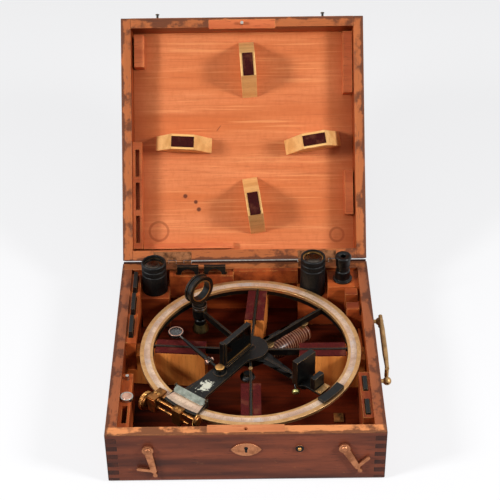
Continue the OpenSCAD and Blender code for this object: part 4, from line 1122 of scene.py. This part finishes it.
# Painted shade: the black disc and bar stand for the dark inside of the keyhole.
turned("keyhole_top", [(2.3, 0), (2.3, 0.12)], (0, board_y - 0.03 * MM, KEYHOLE_Z), FRONT, "hole_black",
       "case", 28)
block("keyhole_foot", (0, board_y - 0.09 * MM, SLOT_Z), RIGHT, UP, (2.8, 0.12, 5.6), "hole_black", "case")
stud = (STUD_X, board_y, STUD_Z)
band("stud_ring", 2.4, 4.9, 0.02, 0.5, stud, FRONT, "hole_black", "case", 32)
turned("stud_ball", [(2.3, 0), (2.4, 0.9), (2.1, 1.7), (1.4, 2.3), (0.5, 2.6)], stud, FRONT, "brass", "case",
       28)
print("front of the board", board_y)

# %% [markdown]
# A telescope shows a ring and a coated lens a few millimetres down its mouth. Clear glass would only show
# the dark tube behind it, so the lens is a polished dark disc with the sheen of a coating. The left one's
# ring is black and the right one's is brass.

# %% Front lenses of the telescopes
for name, depth, ring_metal in (("left_telescope", 5.0, "black_lacquer"), ("right_telescope", 4.0, "brass")):
    mouth = middle(name, top_of(name) - depth * MM)
    band(name + "_cell", 11.8, 13.3, 0, 1.6, mouth, UP, ring_metal, name, 48)
    turned(name + "_front_lens", [(11.7, 0.2), (11.7, 0.9), (8.0, 1.3), (3.0, 1.5)], mouth, UP, "lens_coat",
           name, 48)
    print(name, "mouth", mouth)

# %% [markdown]
# Two knobs belong to the circle itself, and both come from the lathe. A long one with a rounded brass head
# comes out of the horizon bracket towards the front, and a broad black nut sits under the arm, on the spoke
# next to the hub.

# %% Knobs of the circle
corner = min(points("horizon_bracket"), key=lambda place: place.x)
toward = Vector((0.1, -0.8, -0.6)).normalized()
root = (corner.x + 5.5 * MM, corner.y - 2.0 * MM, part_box("horizon_bracket")[0].z - 0.4 * MM)
turned("bracket_stem", [(1.3, 0), (1.3, 11.2)], root, toward, "black_lacquer", "circle", 24)
turned("bracket_knob", [(2.0, 11.2), (4.4, 12.0), (4.9, 13.2), (4.9, 15.2), (3.8, 16.8), (1.4, 17.4)], root,
       toward, "knob_brass", "circle", 32)
under_arm = (HUB.x - 4.0 * MM, -0.037, 0.0480)
nut = [(6.0, 0), (8.6, 1.0), (9.0, 2.2), (9.0, 4.2), (8.2, 5.2), (5.0, 6.6), (4.6, 9.0)]
turned("spoke_nut", nut, under_arm, UP, "black_lacquer", "circle", 48)
turned("spoke_nut_ring", [(9.15, 2.4), (9.15, 2.9)], under_arm, UP, "steel", "circle", 48)
print("knob root", root, "nut", under_arm)

# %% [markdown]
# The set stands on plain pale paper. The paper is darker than it looks, so that it keeps a shadow and
# doesn't light the case from below. What the camera sees of it is lifted to near white, and the same is
# done for what metal and glass show of it.

# %% The floor
FLOOR_HALF = 3.0
sheet = bpy.data.meshes.new("stage_floor")
corners = [(x * FLOOR_HALF, y * FLOOR_HALF, 0) for x, y in ((-1, -1), (1, -1), (1, 1), (-1, 1))]
sheet.from_pydata(corners, [], [(0, 1, 2, 3)])
floor = bpy.data.objects.new("stage_floor", sheet)
bpy.context.scene.collection.objects.link(floor)
paper = Paint("stage_paper", Base_Color=colour(132, 132, 133), Roughness=0.9, Specular_IOR_Level=0.0,
              Emission_Strength=1.0)
paper.set(Emission_Color=paper.mix(paper.seen(), colour(0, 0, 0), colour(221, 221, 222)))
sheet.materials.append(paper.material)
print("floor", 2 * FLOOR_HALF, "m wide")

# %% [markdown]
# The sky lights the set only a little, or the shadows behind the hold-down blocks would wash out. Seen
# directly it is nearly white.

# %% The sky
SKY_LIGHT, SKY_SEEN = 0.17, 0.98
world = bpy.data.worlds.new("daylight")
bpy.context.scene.world = world
world.use_nodes = True
daylight = Graph(world.node_tree)
sky = daylight.nodes["Background"]
daylight.plug(sky.inputs["Color"], (1.0, 1.0, 1.0, 1.0))
daylight.plug(sky.inputs["Strength"], daylight.seen() * (SKY_SEEN - SKY_LIGHT) + SKY_LIGHT)
print("sky light", SKY_LIGHT, "seen", SKY_SEEN)


# %% [markdown]
# Two soft lamps stand to the left and right, a little in front, which gives each block in the lid its pair
# of shadows. A weak one hangs above.

# %% The lamps
for name, place, target, size, watts in (("left_light", (-1.35, -0.7, 1.15), (0, 0.1, 0.1), 0.38, 27),
                                         ("right_light", (1.35, -0.7, 1.15), (0, 0.1, 0.1), 0.38, 25),
                                         ("top_light", (-0.1, -0.3, 2.2), (0, 0, 0), 0.9, 4)):
    light = bpy.data.lights.new(name, "AREA")
    light.shape = "SQUARE"
    light.size = size
    light.energy = watts
    lamp = bpy.data.objects.new(name, light)
    lamp.location = place
    lamp.rotation_euler = (Vector(target) - Vector(place)).to_track_quat("-Z", "Y").to_euler()
    bpy.context.scene.collection.objects.link(lamp)
    print(name, watts, "W")

# %% [markdown]
# The camera was fitted to the photograph: a long lens, about 1.74 m away, looking down 37 degrees. The three
# angles are those of the fit, and a last flip turns them to Blender's way of looking.

# %% Camera
camera = bpy.data.objects.new("camera", bpy.data.cameras.new("camera"))
camera.data.lens = 99.46
camera.data.sensor_width = 36.0
roll, yaw, pitch = math.radians(-0.69), math.radians(0.02), math.radians(36.69)
facing = Matrix(((1, 0, 0), (0, 0, -1), (0, 1, 0)))
turn = Matrix.Rotation(roll, 3, "Z") @ Matrix.Rotation(yaw, 3, "Y") @ Matrix.Rotation(pitch, 3, "X") @ facing
pose = (turn.transposed() @ Matrix.Diagonal((1, -1, -1))).to_4x4()
pose.translation = (0.00773, -1.2855, 1.1721)
camera.matrix_world = pose
bpy.context.scene.collection.objects.link(camera)
bpy.context.scene.camera = camera
bpy.context.scene.view_settings.view_transform = "Standard"
print("lens", camera.data.lens)

# %% [markdown]
